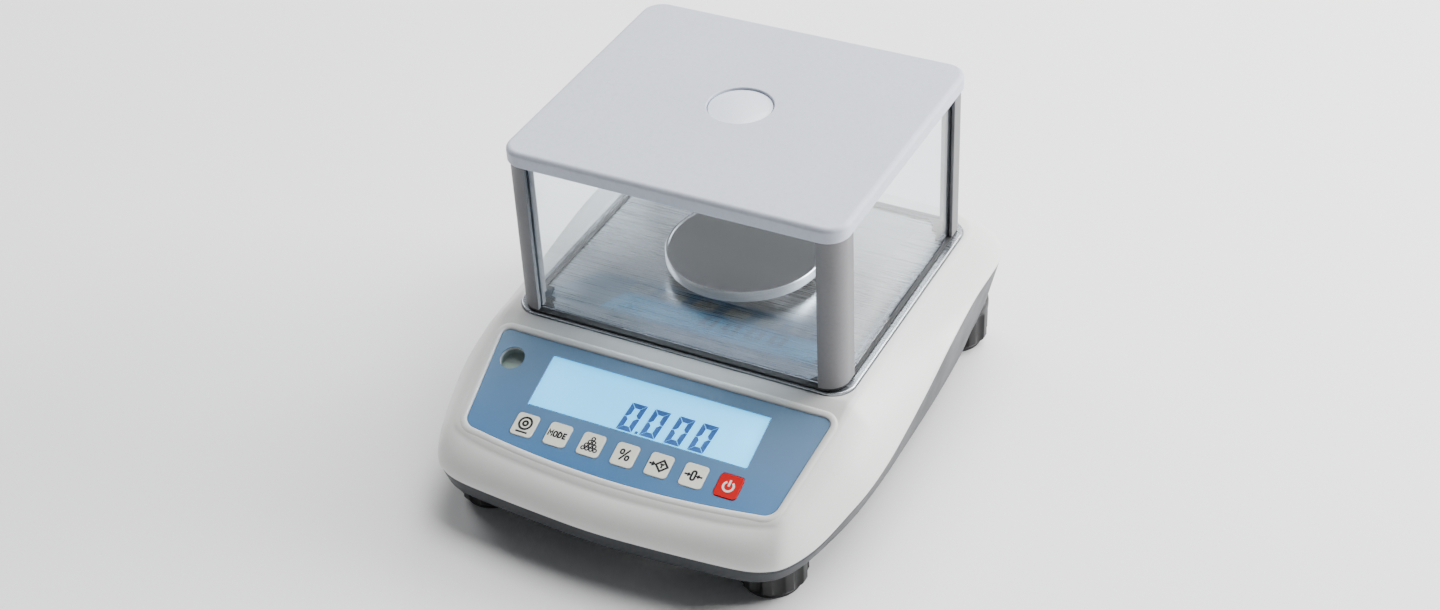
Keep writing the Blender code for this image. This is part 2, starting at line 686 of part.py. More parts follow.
def tray_plate():
    steel = material("brushed_tray", (0.50, 0.52, 0.54), 0.32, 1.0)
    outline = moved(rounded_rectangle(TRAY_WIDTH, TRAY_DEPTH, TRAY_CORNER_R - GAP), 0.0, TRAY_Y)
    hole = arc((0.0, PAN_Y), COLUMN_R + COLUMN_CLEARANCE, 0, 360 - 360 / STEPS, STEPS - 1)
    plate("tray_plate", [outline, hole], TRAY_Z - TRAY_THICKNESS, TRAY_Z, parts, steel)


# Draft shield

def post_outline():
    """The front right post in plan, from the tray's middle, with its two slots for glass."""
    right, front = SHIELD_WIDTH / 2, -SHIELD_DEPTH / 2
    left = right - POST_FACE
    back = front + POST_SIDE
    slot = GLASS + 2 * GAP
    glass_y = front + POST_WALL
    glass_x = right - POST_SIDE_WALL
    rim_x = glass_x - slot - POST_INNER + GAP
    rim_y = glass_y + slot + POST_INNER
    outline = [(left, front)] + arc((right - POST_R, front + POST_R), POST_R, -90, 0, 7)
    outline += [(right, back), (glass_x, back), (glass_x, back - SLOT_DEPTH)]
    outline += [(glass_x - slot, back - SLOT_DEPTH), (glass_x - slot, back), (rim_x, back), (rim_x, rim_y)]
    outline += [(left, rim_y), (left, glass_y + slot), (left + SLOT_DEPTH, glass_y + slot)]
    return outline + [(left + SLOT_DEPTH, glass_y), (left, glass_y)]


def mirrored(outline, x, y):
    """The outline mirrored by the two signs, kept counter-clockwise."""
    turned_over = [(px * x, py * y) for px, py in outline]
    return turned_over if x * y > 0 else turned_over[::-1]


CORNERS = {"front_left": (-1, 1), "front_right": (1, 1), "rear_left": (-1, -1), "rear_right": (1, -1)}


def draft_shield():
    plastic = material("post_plastic", (0.52, 0.51, 0.52), 0.6)
    glass = material("shield_glass", (0.85, 0.92, 0.95), 0.05, alpha=0.25)
    rubber = material("gasket_rubber", (0.02, 0.02, 0.02), 0.7)
    for corner, (x, y) in CORNERS.items():
        outline = moved(mirrored(post_outline(), x, y), 0.0, TRAY_Y)
        smooth(plate("post_" + corner, [outline], POST_Z, POST_TOP_Z, parts, plastic))

    height = POST_TOP_Z - POST_Z - 2 * GAP
    middle = (POST_TOP_Z + POST_Z) / 2
    slot_end = SHIELD_WIDTH / 2 - POST_FACE + SLOT_DEPTH - GAP
    front = SHIELD_DEPTH / 2 - POST_WALL - GAP - GLASS / 2
    for name, side in (("front", -1), ("rear", 1)):
        box("pane_" + name, (2 * slot_end, GLASS, height), (0.0, TRAY_Y + side * front, middle), parts, glass)
    slot_end = SHIELD_DEPTH / 2 - POST_SIDE + SLOT_DEPTH - GAP
    across = SHIELD_WIDTH / 2 - POST_SIDE_WALL - GAP - GLASS / 2
    for name, side in (("left", -1), ("right", 1)):
        box("pane_" + name, (GLASS, 2 * slot_end, height), (side * across, TRAY_Y, middle), parts, glass)

    outer = moved(rounded_rectangle(SHIELD_WIDTH - 2 * GAP, SHIELD_DEPTH - 2 * GAP, POST_R), 0.0, TRAY_Y)
    inside_x = across - GLASS / 2 - 2 * GAP
    inside_y = front - GLASS / 2 - 2 * GAP
    lobe = GASKET_LOBE
    lobe_shares = ((0.0, 1.3), (0.35, 1.3), (0.5, 0.75), (0.75, 0.7), (0.8, 0.4), (1.15, 0.0))
    corner = [(inside_x - lobe * across_share, lobe * along_share - inside_y)
              for across_share, along_share in lobe_shares]
    inner = []
    for x, y in ((1, 1), (1, -1), (-1, -1), (-1, 1)):
        points = [(px * x, py * y) for px, py in corner]
        inner += points if x * y < 0 else points[::-1]
    low = TRAY_Z + GAP
    plate("base_gasket", [outer, moved(inner, 0.0, TRAY_Y)], low, low + GASKET, parts, rubber)


def lid():
    plastic = material("lid_plastic", (0.66, 0.67, 0.70), 0.55)
    outline = moved(rounded_rectangle(LID_WIDTH, LID_DEPTH, LID_CORNER_R), 0.0, TRAY_Y)
    top = plate("windshield_lid", [outline], LID_Z, LID_TOP_Z, parts, plastic)
    add_bevel(top, LID_EDGE_R, 3, 60.0)
    pocket = plate("lid_pocket", [moved(rounded_rectangle(LID_WIDTH - 2 * LID_RIM, LID_DEPTH - 2 * LID_RIM,
                                                          LID_CORNER_R / 2), 0.0, TRAY_Y)],
                   LID_Z - WALL, LID_Z + LID_POCKET, cutters)
    boolean(top, pocket)
    seat = LID_TOP_Z - PLUG_SUNK - PLUG_DISC - GAP
    wide, narrow = PLUG_R + 2 * GAP, PLUG_R - PLUG_LIP
    over, under = LID_TOP_Z + WALL, LID_Z - WALL
    centre = (0.0, TRAY_Y + PLUG_BACK, 0.0)
    boolean(top, turned("lid_port", ((0.0, over), (wide, over), (wide, seat), (narrow, seat), (narrow, under),
                                     (0.0, under)), centre, cutters, steps=32))
    smooth(top)

    cap = material("plug_plastic", (0.70, 0.74, 0.80), 0.4)
    high = LID_TOP_Z - PLUG_SUNK
    low = high - PLUG_DISC
    end = low - 1.2 * PLUG_DISC
    spigot = narrow - 2 * GAP
    turned("lid_plug", ((0.0, high), (PLUG_R, high), (PLUG_R, low), (spigot, low), (spigot, end), (0.0, end)),
           centre, parts, cap, steps=32)


# Weighing system

def weighing_system():
    bright = material("polished_steel", (0.62, 0.63, 0.65), 0.12, 1.0)
    alloy = material("aluminium", (0.70, 0.71, 0.72), 0.4, 1.0)
    under = PAN_TOP_Z - PAN_SHEET
    low = PAN_TOP_Z - PAN_SKIRT
    turned("weighing_pan", ((0.0, PAN_TOP_Z), (PAN_R - 0.5 * MM, PAN_TOP_Z), (PAN_R, PAN_TOP_Z - 0.5 * MM),
                            (PAN_R, low), (PAN_R - PAN_SHEET, low), (PAN_R - PAN_SHEET, under), (0.0, under)),
           (0.0, PAN_Y, 0.0), parts, bright, steps=48)
    head = under - GAP
    collar = COLUMN_Z + 3.0 * MM
    turned("pan_support", ((0.0, head), (HEAD_R, head), (HEAD_R, head - 2.0 * MM),
                           (2.4 * COLUMN_R, head - 3.4 * MM), (COLUMN_R, head - 5.0 * MM), (COLUMN_R, collar),
                           (2 * COLUMN_R, collar), (2 * COLUMN_R, COLUMN_Z), (0.0, COLUMN_Z)),
           (0.0, PAN_Y, 0.0), parts, alloy)

    live_end = PAN_Y - CELL_LENGTH / 2
    arm_length = CELL_LENGTH / 2 + 2.5 * COLUMN_R
    arm = box("load_arm", (CELL_WIDTH + 4.0 * MM, arm_length, ARM_THICKNESS),
              (0.0, live_end + arm_length / 2, ARM_Z + ARM_THICKNESS / 2), parts, alloy)
    bolts = [(0.0, live_end + share * CELL_END, 0.0) for share in BOLT_SHARES]
    holes = [cylinder("arm_hole", BOLT_R + GAP, ARM_Z - WALL, ARM_Z + 2 * ARM_THICKNESS,
                      bolt, cutters, steps=16)
             for bolt in bolts]
    boolean(arm, joined("arm_holes", holes, cutters))
    add_bevel(arm, 0.6 * MM, 1)

    cell = box("load_cell", (CELL_WIDTH, CELL_LENGTH, CELL_HEIGHT), (0.0, PAN_Y, CELL_Z + CELL_HEIGHT / 2),
               parts, alloy)
    middle = CELL_Z + CELL_HEIGHT / 2
    for side in (-1, 1):
        bore = cylinder("cell_bore", CELL_BORE_R, -CELL_WIDTH, CELL_WIDTH,
                        (0.0, PAN_Y + side * CELL_BORE_PITCH / 2, middle), cutters)
        bore.rotation_euler = (0.0, math.pi / 2, 0.0)
        boolean(cell, bore)
    cuts = [box("cell_slot", (2 * CELL_WIDTH, CELL_BORE_PITCH, CELL_SLOT), (0.0, PAN_Y, middle), cutters)]
    cuts += [cylinder("live_hole", BOLT_R + GAP, CELL_Z + 0.55 * CELL_HEIGHT, CELL_Z + 2 * CELL_HEIGHT, bolt,
                      cutters, steps=16)
             for bolt in bolts]
    boolean(cell, joined("cell_cuts", cuts, cutters))

    box("cell_spacer", (CELL_WIDTH, CELL_END, SPACER_HEIGHT),
        (0.0, PAN_Y + CELL_LENGTH / 2 - CELL_END / 2, SPACER_Z + SPACER_HEIGHT / 2), parts, alloy)
    cast = material("cast_aluminium", (0.55, 0.56, 0.57), 0.6, 1.0)
    slab = box("base_plate", (BASE_PLATE_WIDTH, CELL_LENGTH + 40.0 * MM, BASE_PLATE),
               (0.0, PAN_Y - 5.0 * MM, BASE_PLATE_Z + BASE_PLATE / 2), parts, cast)
    add_bevel(slab, 1.0 * MM, 1)
    steel = material("zinc_steel", (0.72, 0.72, 0.70), 0.35, 1.0)
    seat = ARM_Z + ARM_THICKNESS + GAP
    top, end, head = seat + 3.0 * MM, ARM_Z - 8.0 * MM, 1.7 * BOLT_R
    for index, bolt in enumerate(bolts):
        turned(f"cell_bolt_{index + 1}", ((0.0, top), (head, top), (head, seat), (BOLT_R, seat),
                                          (BOLT_R, end), (0.0, end)), bolt, parts, steel, steps=12)


# Control panel

def key_places():
    middle = (len(KEY_NAMES) - 1) / 2
    return [KEY_RIGHT + (index - middle) * KEY_PITCH for index in range(len(KEY_NAMES))]


def overlay_outline(grow=0.0):
    """The keypad sheet's outline in panel coordinates, enlarged all round by grow."""
    top = -OVERLAY_TOP + grow
    bottom = -(OVERLAY_TOP + OVERLAY_LENGTH - OVERLAY_BOW) - grow
    top_x = CREASE_X - OVERLAY_TOP_INSET + grow
    low_x = CREASE_X - OVERLAY_BOTTOM_INSET + grow
    top_r, low_r = OVERLAY_TOP_R + grow, OVERLAY_BOTTOM_R + grow
    lean = math.degrees(math.atan2(top_x - low_x, top - bottom))
    half = low_x - low_r
    bow_r = (half ** 2 + OVERLAY_BOW ** 2) / (2 * OVERLAY_BOW)
    sweep = math.degrees(math.asin(half / bow_r))
    right = arc((low_x - low_r, bottom + low_r), low_r, -90 + sweep, -lean, 5)
    right += arc((top_x - top_r, top - top_r), top_r, -lean, 90, 5)
    left = [(-x, y) for x, y in reversed(right)]
    bow = arc((0.0, bottom - OVERLAY_BOW + bow_r), bow_r, -90 - sweep, -90 + sweep, 12)
    return bow[1:-1] + right + left


def control_panel(panel):
    blue = material("keypad_film", (0.12, 0.26, 0.50), 0.4)
    window = rounded_rectangle(LCD_WIDTH + 2 * GAP, LCD_HEIGHT + 2 * GAP, 0.5 * MM, 2)
    key_hole = rounded_rectangle(KEY_WIDTH + 2 * GAP, KEY_HEIGHT + 2 * GAP, KEY_R + GAP, 4)
    holes = [moved(window, LCD_RIGHT, -LCD_DOWN)] + [moved(key_hole, x, -KEY_DOWN) for x in key_places()]
    holes.append(arc((-LEVEL_LEFT, -LEVEL_DOWN), LEVEL_HOLE_R, 0, 360 - 360 / STEPS, STEPS - 1))
    top = -OVERLAY_BACK + OVERLAY_SHEET
    sheet = plate("keypad_overlay", [overlay_outline()] + holes, -OVERLAY_BACK, top, parts, blue)
    on_panel(sheet, panel)

    clear = material("display_lens", (0.80, 0.92, 1.0), 0.1, alpha=0.3)
    glass = moved(rounded_rectangle(LCD_WIDTH, LCD_HEIGHT, 0.3 * MM, 2), LCD_RIGHT, -LCD_DOWN)
    lens = plate("display_lens", [glass], -OVERLAY_BACK, top, parts, clear)
    on_panel(lens, panel)
    screen = material("lcd_glass", (0.48, 0.75, 0.95), 0.3)
    depth = OVERLAY_POCKET
    lcd = box("lcd_module", (LCD_WIDTH + 2 * LCD_FRAME, LCD_HEIGHT + 2 * LCD_FRAME, LCD_THICKNESS),
              (LCD_RIGHT, -LCD_DOWN, -depth - LCD_THICKNESS / 2), parts, screen)
    on_panel(lcd, panel)

    ivory = material("key_ivory", (0.85, 0.83, 0.72), 0.5)
    red = material("key_red", (0.76, 0.01, 0.02), 0.45)
    for name, x in zip(KEY_NAMES, key_places()):
        cap = plate("key_" + name, [rounded_rectangle(KEY_WIDTH, KEY_HEIGHT, KEY_R, 4)],
                    KEY_PROUD - KEY_CAP, KEY_PROUD, parts, red if name == "power" else ivory)
        cap.location = (x, -KEY_DOWN, 0.0)
        stem = cylinder("stem_" + name, STEM_R, -STEM_BOTTOM, KEY_PROUD - KEY_CAP / 2,
                        (x, -KEY_DOWN, 0.0), cutters, steps=8)
        boolean(cap, on_panel(stem, panel), "UNION")
        on_panel(cap, panel)

    green = material("circuit_board", (0.03, 0.20, 0.10), 0.5)
    board_width = LCD_WIDTH + 10.0 * MM
    board_length = KEY_DOWN + SWITCH + 4.0 * MM - (LCD_DOWN - LCD_HEIGHT / 2)
    board = box("display_board", (board_width, board_length, BOARD),
                (LCD_RIGHT, LCD_HEIGHT / 2 - LCD_DOWN - board_length / 2, -BOARD_DEPTH - BOARD / 2), parts,
                green)
    switches = [box("switch", (SWITCH, SWITCH, SWITCH_HEIGHT + BOARD / 2),
                    (x, -KEY_DOWN, -BOARD_DEPTH + (SWITCH_HEIGHT - BOARD / 2) / 2), cutters)
                for x in key_places()]
    boolean(board, on_panel(joined("switches", switches, cutters), panel), "UNION")
    on_panel(board, panel)

    ribbon()
    spirit_level()


def ribbon():
    """The flat cable between the two boards: a folded strip with thickness."""
    start = panel_point(0.0, KEY_DOWN - 4.0 * MM, -BOARD_DEPTH - BOARD - 2 * GAP)
    end_y = MAIN_BOARD_Y - MAIN_BOARD[1] / 2 + 4.0 * MM
    end_z = FLOOR_Z + STANDOFF + GAP + BOARD + 2 * GAP
    path = [(start.y, start.z), (start.y + 5.0 * MM, start.z - 2.0 * MM),
            (start.y + 8.0 * MM, start.z - 6.0 * MM), (start.y + 14.0 * MM, (start.z + end_z) / 2),
            (end_y - 10.0 * MM, end_z + 1.5 * MM), (end_y, end_z)]

    def fill(shape):
        rows = [[shape.verts.new((MAIN_BOARD_X + side * RIBBON_WIDTH / 2, y, z)) for side in (-1, 1)]
                for y, z in path]
        for (a, b), (c, d) in zip(rows, rows[1:]):
            shape.faces.new((a, b, d, c))

    grey = material("ribbon_cable", (0.45, 0.45, 0.47), 0.6)
    strip = add_object("display_ribbon", mesh_from("display_ribbon", fill), parts, grey)
    add_solidify(strip, RIBBON_THICKNESS, 1.0)


def spirit_level():
    centre = panel_point(-LEVEL_LEFT, LEVEL_DOWN)
    lowest_wall = centre.z - (VIAL_R * math.tan(PANEL_ANGLE)) - WALL / math.cos(PANEL_ANGLE)
    top = lowest_wall - 0.8 * MM
    place = (centre.x, centre.y, 0.0)
    fluid = material("vial_fluid", (0.45, 0.62, 0.50), 0.05, alpha=0.6)
    turned("level_vial", ((0.0, top), (VIAL_R - 1.2 * MM, top), (VIAL_R, top - 1.2 * MM),
                          (VIAL_R, top - VIAL_HEIGHT), (0.0, top - VIAL_HEIGHT)), place, parts, fluid)
    cup = material("vial_cup", (0.82, 0.82, 0.80), 0.5)
    inner, outer = VIAL_R + GAP, VIAL_R + GAP + 1.6 * MM
    rim, floor = top - 2.0 * MM, top - VIAL_HEIGHT - GAP
    turned("level_cup", ((0.0, floor), (inner, floor), (inner, rim), (outer, rim), (outer, floor - 1.6 * MM),
                         (0.0, floor - 1.6 * MM)), place, parts, cup)


# Electrics, feet and fasteners

def electrics():
    green = material("circuit_board", (0.03, 0.20, 0.10), 0.5)
    low = FLOOR_Z + STANDOFF + GAP
    centre = (MAIN_BOARD_X, MAIN_BOARD_Y, low + BOARD / 2)
    board = box("main_board", (*MAIN_BOARD, BOARD), centre, parts, green)
    chips = [box("chip", size, (MAIN_BOARD_X + x, MAIN_BOARD_Y + y, low + BOARD / 2 + size[2] / 2), cutters)
             for x, y, size in ((-8 * MM, 12 * MM, (14 * MM, 14 * MM, 4 * MM)),
                                (10 * MM, -4 * MM, (10 * MM, 18 * MM, 6 * MM)),
                                (-10 * MM, -18 * MM, (12 * MM, 8 * MM, 9 * MM)),
                                (8 * MM, 34 * MM, (22 * MM, 12 * MM, 11 * MM)))]
    boolean(board, joined("chips", chips, cutters), "UNION")

    wrap = material("battery_wrap", (0.08, 0.09, 0.11), 0.6)
    box("battery", BATTERY, (BATTERY_X, BATTERY_Y, FLOOR_Z + GAP + BATTERY[2] / 2), parts, wrap, 1.0 * MM)
    dark = material("lower_case_plastic", (0.10, 0.115, 0.135), 0.55)
    door = (BATTERY[0] - 2 * DOOR_INSET - 2 * GAP, BATTERY[1] - 2 * DOOR_INSET - 2 * GAP, WALL - GAP)
    box("battery_door", door, (BATTERY_X, BATTERY_Y, BASE_Z + door[2] / 2), parts, dark, 0.4 * MM)

    black = material("connector_plastic", (0.02, 0.02, 0.02), 0.5)
    face = BACK_Y - 1.6 * MM
    jack = box("dc_jack", JACK_SIZE, (JACK_X, face - JACK_SIZE[1] / 2, PORT_Z), parts, black, 0.3 * MM)
    depth = JACK_SIZE[1] - 3.0 * MM
    ring = turned("jack_bore", ((0.0, 5.0 * MM), (JACK_BORE_R, 5.0 * MM), (JACK_BORE_R, -depth),
                                (JACK_PIN_R, -depth), (JACK_PIN_R, -1.0 * MM), (0.0, -1.0 * MM)),
                  (JACK_X, face, PORT_Z), cutters, steps=20)
    ring.rotation_euler = (-math.pi / 2, 0.0, 0.0)
    boolean(jack, ring)

    nickel = material("connector_shell", (0.70, 0.70, 0.68), 0.3, 1.0)
    flange = box("serial_port", (SERIAL_SIZE[0], 1.4 * MM, SERIAL_SIZE[1]),
                 (PORT_X, face - 4.0 * MM, PORT_Z), parts, nickel)
    wide, high = SERIAL_SHELL
    low_half = wide / 2 - 1.2 * MM
    section = [(-low_half, -high / 2), (low_half, -high / 2), (wide / 2, high / 2), (-wide / 2, high / 2)]
    nose = plate("serial_nose", [section], -12.0 * MM, 4.0 * MM, cutters)
    nose.location = (PORT_X, face - 4.0 * MM, PORT_Z)
    nose.rotation_euler = (-math.pi / 2, 0.0, 0.0)
    boolean(flange, nose, "UNION")


def foot(corner, place):
    rubber = material("foot_rubber", (0.02, 0.02, 0.02), 0.8)
    black = material("foot_plastic", (0.03, 0.03, 0.03), 0.45)
    steel = material("zinc_steel", (0.72, 0.72, 0.70), 0.35, 1.0)
    centre = (place[0], place[1], 0.0)
    turned("foot_pad_" + corner, ((0.0, PAD_HEIGHT), (PAD_R, PAD_HEIGHT), (PAD_R, 0.8 * MM),
                                  (PAD_R - 0.8 * MM, 0.0), (0.0, 0.0)), centre, parts, rubber, steps=20)
    low = PAD_HEIGHT + GAP
    bore = STUD_R + GAP
    profile = [(0.0, FOOT_TOP - 6.0 * MM), (bore, FOOT_TOP - 6.0 * MM), (bore, FOOT_TOP)]
    profile += arc((FOOT_R - FOOT_ROUND, FOOT_TOP - FOOT_ROUND), FOOT_ROUND, 90, 0, 2)
    profile += arc((FOOT_R - FOOT_ROUND, low + FOOT_ROUND), FOOT_ROUND, 0, -90, 2)
    knob = turned("foot_knob_" + corner, profile + [(0.0, low)], centre, parts, black, steps=30)
    flute = ((0.0, FOOT_TOP - 5.0 * MM), (0.75 * FLUTE_R, FOOT_TOP - 6.5 * MM),
             (FLUTE_R, FOOT_TOP - 9.0 * MM), (FLUTE_R, low - 2.0 * MM), (0.0, low - 2.0 * MM))
    reach = FOOT_R + 0.55 * FLUTE_R
    flutes = []
    for index in range(FOOT_FLUTES):
        angle = 2 * math.pi * (index + 0.5) / FOOT_FLUTES
        flute_centre = (place[0] + reach * math.cos(angle), place[1] + reach * math.sin(angle), 0.0)
        flutes.append(turned("flute", flute, flute_centre, cutters, steps=8))
    boolean(knob, joined("flutes_" + corner, flutes, cutters))
    turned("foot_stud_" + corner, ((0.0, STUD_TOP - 1.0 * MM), (STUD_R - 0.6 * MM, STUD_TOP - 1.0 * MM),
                                   (STUD_R, STUD_TOP - 1.6 * MM), (STUD_R, FOOT_TOP - 6.0 * MM + GAP),
                                   (0.0, FOOT_TOP - 6.0 * MM + GAP)), centre, parts, steel, steps=12)


def housing_screws():
    steel = material("zinc_steel", (0.72, 0.72, 0.70), 0.35, 1.0)
    low = BASE_Z + 2 * GAP
    head = low + SCREW_HEAD
    end = head + SCREW_LENGTH
    profile = ((0.0, end), (SCREW_R, end), (SCREW_R, head), (SCREW_HEAD_R, head),
               (SCREW_HEAD_R, low + 0.8 * MM), (SCREW_HEAD_R - 0.8 * MM, low), (0.0, low))
    for index, (x, y) in enumerate(screw_places()):
        turned(f"housing_screw_{index + 1}", profile, (x, y, 0.0), parts, steel, steps=12)


def build():
    global parts, cutters
    for obj in list(bpy.data.objects):
        bpy.data.objects.remove(obj)
    parts = bpy.data.collections.new("precision_balance")
    cutters = bpy.data.collections.new("cutters")
    for group in (parts, cutters):
        bpy.context.scene.collection.children.link(group)
    panel = bpy.data.objects.new("panel_frame", None)
    parts.objects.link(panel)
    panel.location = (0.0, FOLD_Y, PLATEAU_Z)
    panel.rotation_euler = (PANEL_ANGLE, 0.0, 0.0)

    shell = upper_housing()
    finish_upper_housing(shell, panel)
    lower_housing()
    tray_plate()
    draft_shield()
    lid()
    weighing_system()
    control_panel(panel)
    electrics()
    for corner, place in foot_places().items():
        foot(corner, place)
    housing_screws()


build()
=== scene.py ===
"""The finished look of a precision balance with a glass draft shield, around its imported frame."""

import json
from math import asin, atan2, copysign, cos, degrees, pi, radians, sin, sqrt, tan

import bmesh
import bpy
from mathutils import Matrix, Vector


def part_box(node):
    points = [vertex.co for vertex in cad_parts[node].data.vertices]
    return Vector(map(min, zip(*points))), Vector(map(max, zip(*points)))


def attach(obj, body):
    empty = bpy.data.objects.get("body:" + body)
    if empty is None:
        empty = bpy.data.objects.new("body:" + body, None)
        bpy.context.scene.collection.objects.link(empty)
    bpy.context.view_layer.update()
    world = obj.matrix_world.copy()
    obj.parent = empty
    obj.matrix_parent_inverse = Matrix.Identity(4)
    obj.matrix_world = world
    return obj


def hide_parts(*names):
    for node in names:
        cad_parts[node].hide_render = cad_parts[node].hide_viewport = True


MM = 0.001
GAP = 0.3 * MM


def mm(*values):
    return tuple(value * MM for value in values)


move = Matrix.Translation

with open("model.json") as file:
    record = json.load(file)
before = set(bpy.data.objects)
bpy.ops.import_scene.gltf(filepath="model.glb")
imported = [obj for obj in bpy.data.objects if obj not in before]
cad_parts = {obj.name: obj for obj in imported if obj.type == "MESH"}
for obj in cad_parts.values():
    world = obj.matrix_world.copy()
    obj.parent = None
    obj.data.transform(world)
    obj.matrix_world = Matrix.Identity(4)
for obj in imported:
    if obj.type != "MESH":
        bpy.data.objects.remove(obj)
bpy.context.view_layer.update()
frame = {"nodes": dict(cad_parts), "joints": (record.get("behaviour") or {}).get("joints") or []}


# Places read from the frame

def span(node):
    low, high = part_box(node)
    return Vector(low), Vector(high)


def plan_centre(node):
    low, high = span(node)
    return (low.x + high.x) / 2, (low.y + high.y) / 2, 0.0


CASE_LOW, CASE_HIGH = span("upper_housing")
TRAY_LOW, TRAY_HIGH = span("tray_plate")
LID_LOW, LID_HIGH = span("windshield_lid")
PLUG_LOW, PLUG_HIGH = span("lid_plug")
PAN_LOW, PAN_HIGH = span("weighing_pan")
FRONT_Y, BACK_Y = CASE_LOW.y, CASE_HIGH.y
EDGE_X = CASE_HIGH.x
TRAY_Y = (TRAY_LOW.y + TRAY_HIGH.y) / 2
TRAY_Z = TRAY_HIGH.z
BASE_Z = span("lower_housing")[0].z
PAN_Y = (PAN_LOW.y + PAN_HIGH.y) / 2
PRESS = Vector(next(joint["axis"] for joint in frame["joints"] if joint["name"] == "press_mode"))
PANEL_ANGLE = asin(PRESS.y)

# Sizes of the case and its panel that the looks need again
CREASE_DROP, SHOULDER, WALL, LIP, EDGE_STEP, BASE_ROUND = mm(1.2, 3.4, 2.5, 1.6, 0.7, 1.2)
PLATEAU_Z = TRAY_Z - 1.2 * MM
FOLD_Y, FOLD_SOFT = TRAY_LOW.y - GAP - 1.0 * MM, 0.9 * MM
CREASE_X = TRAY_HIGH.x + GAP + 4.7 * MM
PANEL_RUN = FOLD_Y - (FRONT_Y + 12.2 * MM)
PANEL = move((0.0, FOLD_Y, PLATEAU_Z)) @ Matrix.Rotation(PANEL_ANGLE, 4, "X")
FRONT_EDGE_Z, SIDE_EDGE_Z, REAR_EDGE_Z, BACK_EDGE_Z = mm(28.7, 43.6, 59.9, 57.0)
OVERLAY_POCKET, OVERLAY_TOP, OVERLAY_LENGTH, OVERLAY_BOW = mm(1.2, 10.3, 61.2, 5.6)
OVERLAY_TOP_INSET, OVERLAY_BOTTOM_INSET, OVERLAY_TOP_R, OVERLAY_BOTTOM_R = mm(6.7, 12.3, 4.0, 6.5)
FILM_LOW, FILM_TOP = mm(-0.9, -0.3)
LCD_WIDTH, LCD_HEIGHT, LCD_DOWN, LCD_RIGHT = mm(115.5, 28.2, 31.8, 1.7)
KEY_WIDTH, KEY_HEIGHT, KEY_R, KEY_TOP = mm(11.7, 12.3, 2.0, 0.05)
KEY_PITCH, KEY_DOWN, KEY_RIGHT = mm(17.9, 57.2, 1.8)
KEY_NAMES = ("calibrate", "mode", "count", "percent", "tare", "zero", "power")
ICON_SCALE, ICON_STROKE = mm(1.07, 1.55)
LEVEL_R, LEVEL_LEFT, LEVEL_DOWN = mm(6.3, 75.8, 24.9)
FOOT_R, FOOT_TOP, FOOT_ROUND, PAD_R, PAD_HEIGHT = mm(17.2, 28.0, 3.0, 14.2, 3.0)
FOOT_LOW = PAD_HEIGHT + GAP
POCKET_CLEARANCE, POCKET_WALL, STUD_R, STUD_TOP = mm(1.2, 1.8, 3.0, 42.0)
JACK_X, PORT_X, PORT_Z, SCREW_HEAD, COLUMN_R = mm(-48.0, 46.0, 38.0, 2.4, 8.0)
CORNERS = ("front_left", "front_right", "rear_left", "rear_right")
SCREWS = [f"housing_screw_{index}" for index in range(1, 5)]


# Materials

class Nodes:
    """Short names for building one material's node tree."""

    def __init__(self, name):
        self.material = bpy.data.materials.new(name)
        self.material.use_nodes = True
        self.tree = self.material.node_tree
        self.shader = self.tree.nodes["Principled BSDF"]
        self.output = self.tree.nodes["Material Output"]
        self.place = self.add("TexCoord").outputs["Object"]

    def link(self, source, target):
        self.tree.links.new(source, target)

    def feed(self, socket, value):
        """Links an output to the socket, or sets the socket to a number, vector or colour."""
        if isinstance(value, bpy.types.NodeSocket):
            self.link(value, socket)
        else:
            socket.default_value = (*value, 1.0) if socket.type == "RGBA" else value

    def add(self, kind, inputs=None, **settings):
        node = self.tree.nodes.new("ShaderNode" + kind)
        for name, value in settings.items():
            setattr(node, name, value)
        for key, value in (inputs or {}).items():
            self.feed(node.inputs[key], value)
        return node

    def stretched(self, scale):
        return self.add("Mapping", {"Scale": scale, "Vector": self.place}).outputs["Vector"]

    def noise(self, scale, detail=3.0, rough=0.5, place=None):
        return self.add("TexNoise", {"Scale": scale, "Detail": detail, "Roughness": rough,
                                     "Vector": place or self.place}).outputs["Fac"]

    def spread(self, value, low, high, start=0.3, end=0.7):
        """Maps start to end onto low to high."""
        return self.add("MapRange", {"Value": value, "From Min": start, "From Max": end, "To Min": low,
                                     "To Max": high}, clamp=True).outputs["Result"]

    def mix(self, factor, first, second):
        return self.add("Mix", {0: factor, 6: first, 7: second}, data_type="RGBA").outputs[2]

    def maths(self, operation, first, second=0.0):
        return self.add("Math", {0: first, 1: second}, operation=operation).outputs[0]

    def bump(self, height, strength, distance):
        """Adds a bump of the given millimetres on top of those before it."""
        node = self.add("Bump", {"Strength": strength, "Distance": distance * MM, "Height": height})
        previous = self.shader.inputs["Normal"]
        if previous.is_linked:
            self.link(previous.links[0].from_socket, node.inputs["Normal"])
        self.link(node.outputs["Normal"], previous)

    def set(self, **values):
        for name, value in values.items():
            self.feed(self.shader.inputs[name.replace("_", " ")], value)


def shade(colour, factor):
    return tuple(min(1.0, channel * factor) for channel in colour)


def plastic(name, colour, roughness, grain=0.05, size=1.1, wear=0.04, coat=0.0, specular=0.5):
    """Moulded plastic: fine spark-eroded grain, cloudy colour and a little handling wear in the gloss."""
    n = Nodes(name)
    cloud = n.noise(14.0, 2.0)
    speck = n.noise(900.0, 2.0)
    tint = n.mix(n.spread(cloud, 0.0, 1.0), shade(colour, 1 - wear), shade(colour, 1 + wear / 2))
    tint = n.mix(n.spread(speck, 0.0, 0.35), tint, shade(colour, 0.93))
    n.set(Base_Color=tint, Roughness=n.spread(n.noise(40.0, 4.0), roughness - 0.06, roughness + 0.08),
          Coat_Weight=coat, Specular_IOR_Level=specular)
    if grain:
        n.bump(n.noise(1000.0 / size, 3.0, 0.6), 0.5, grain)
    return n.material


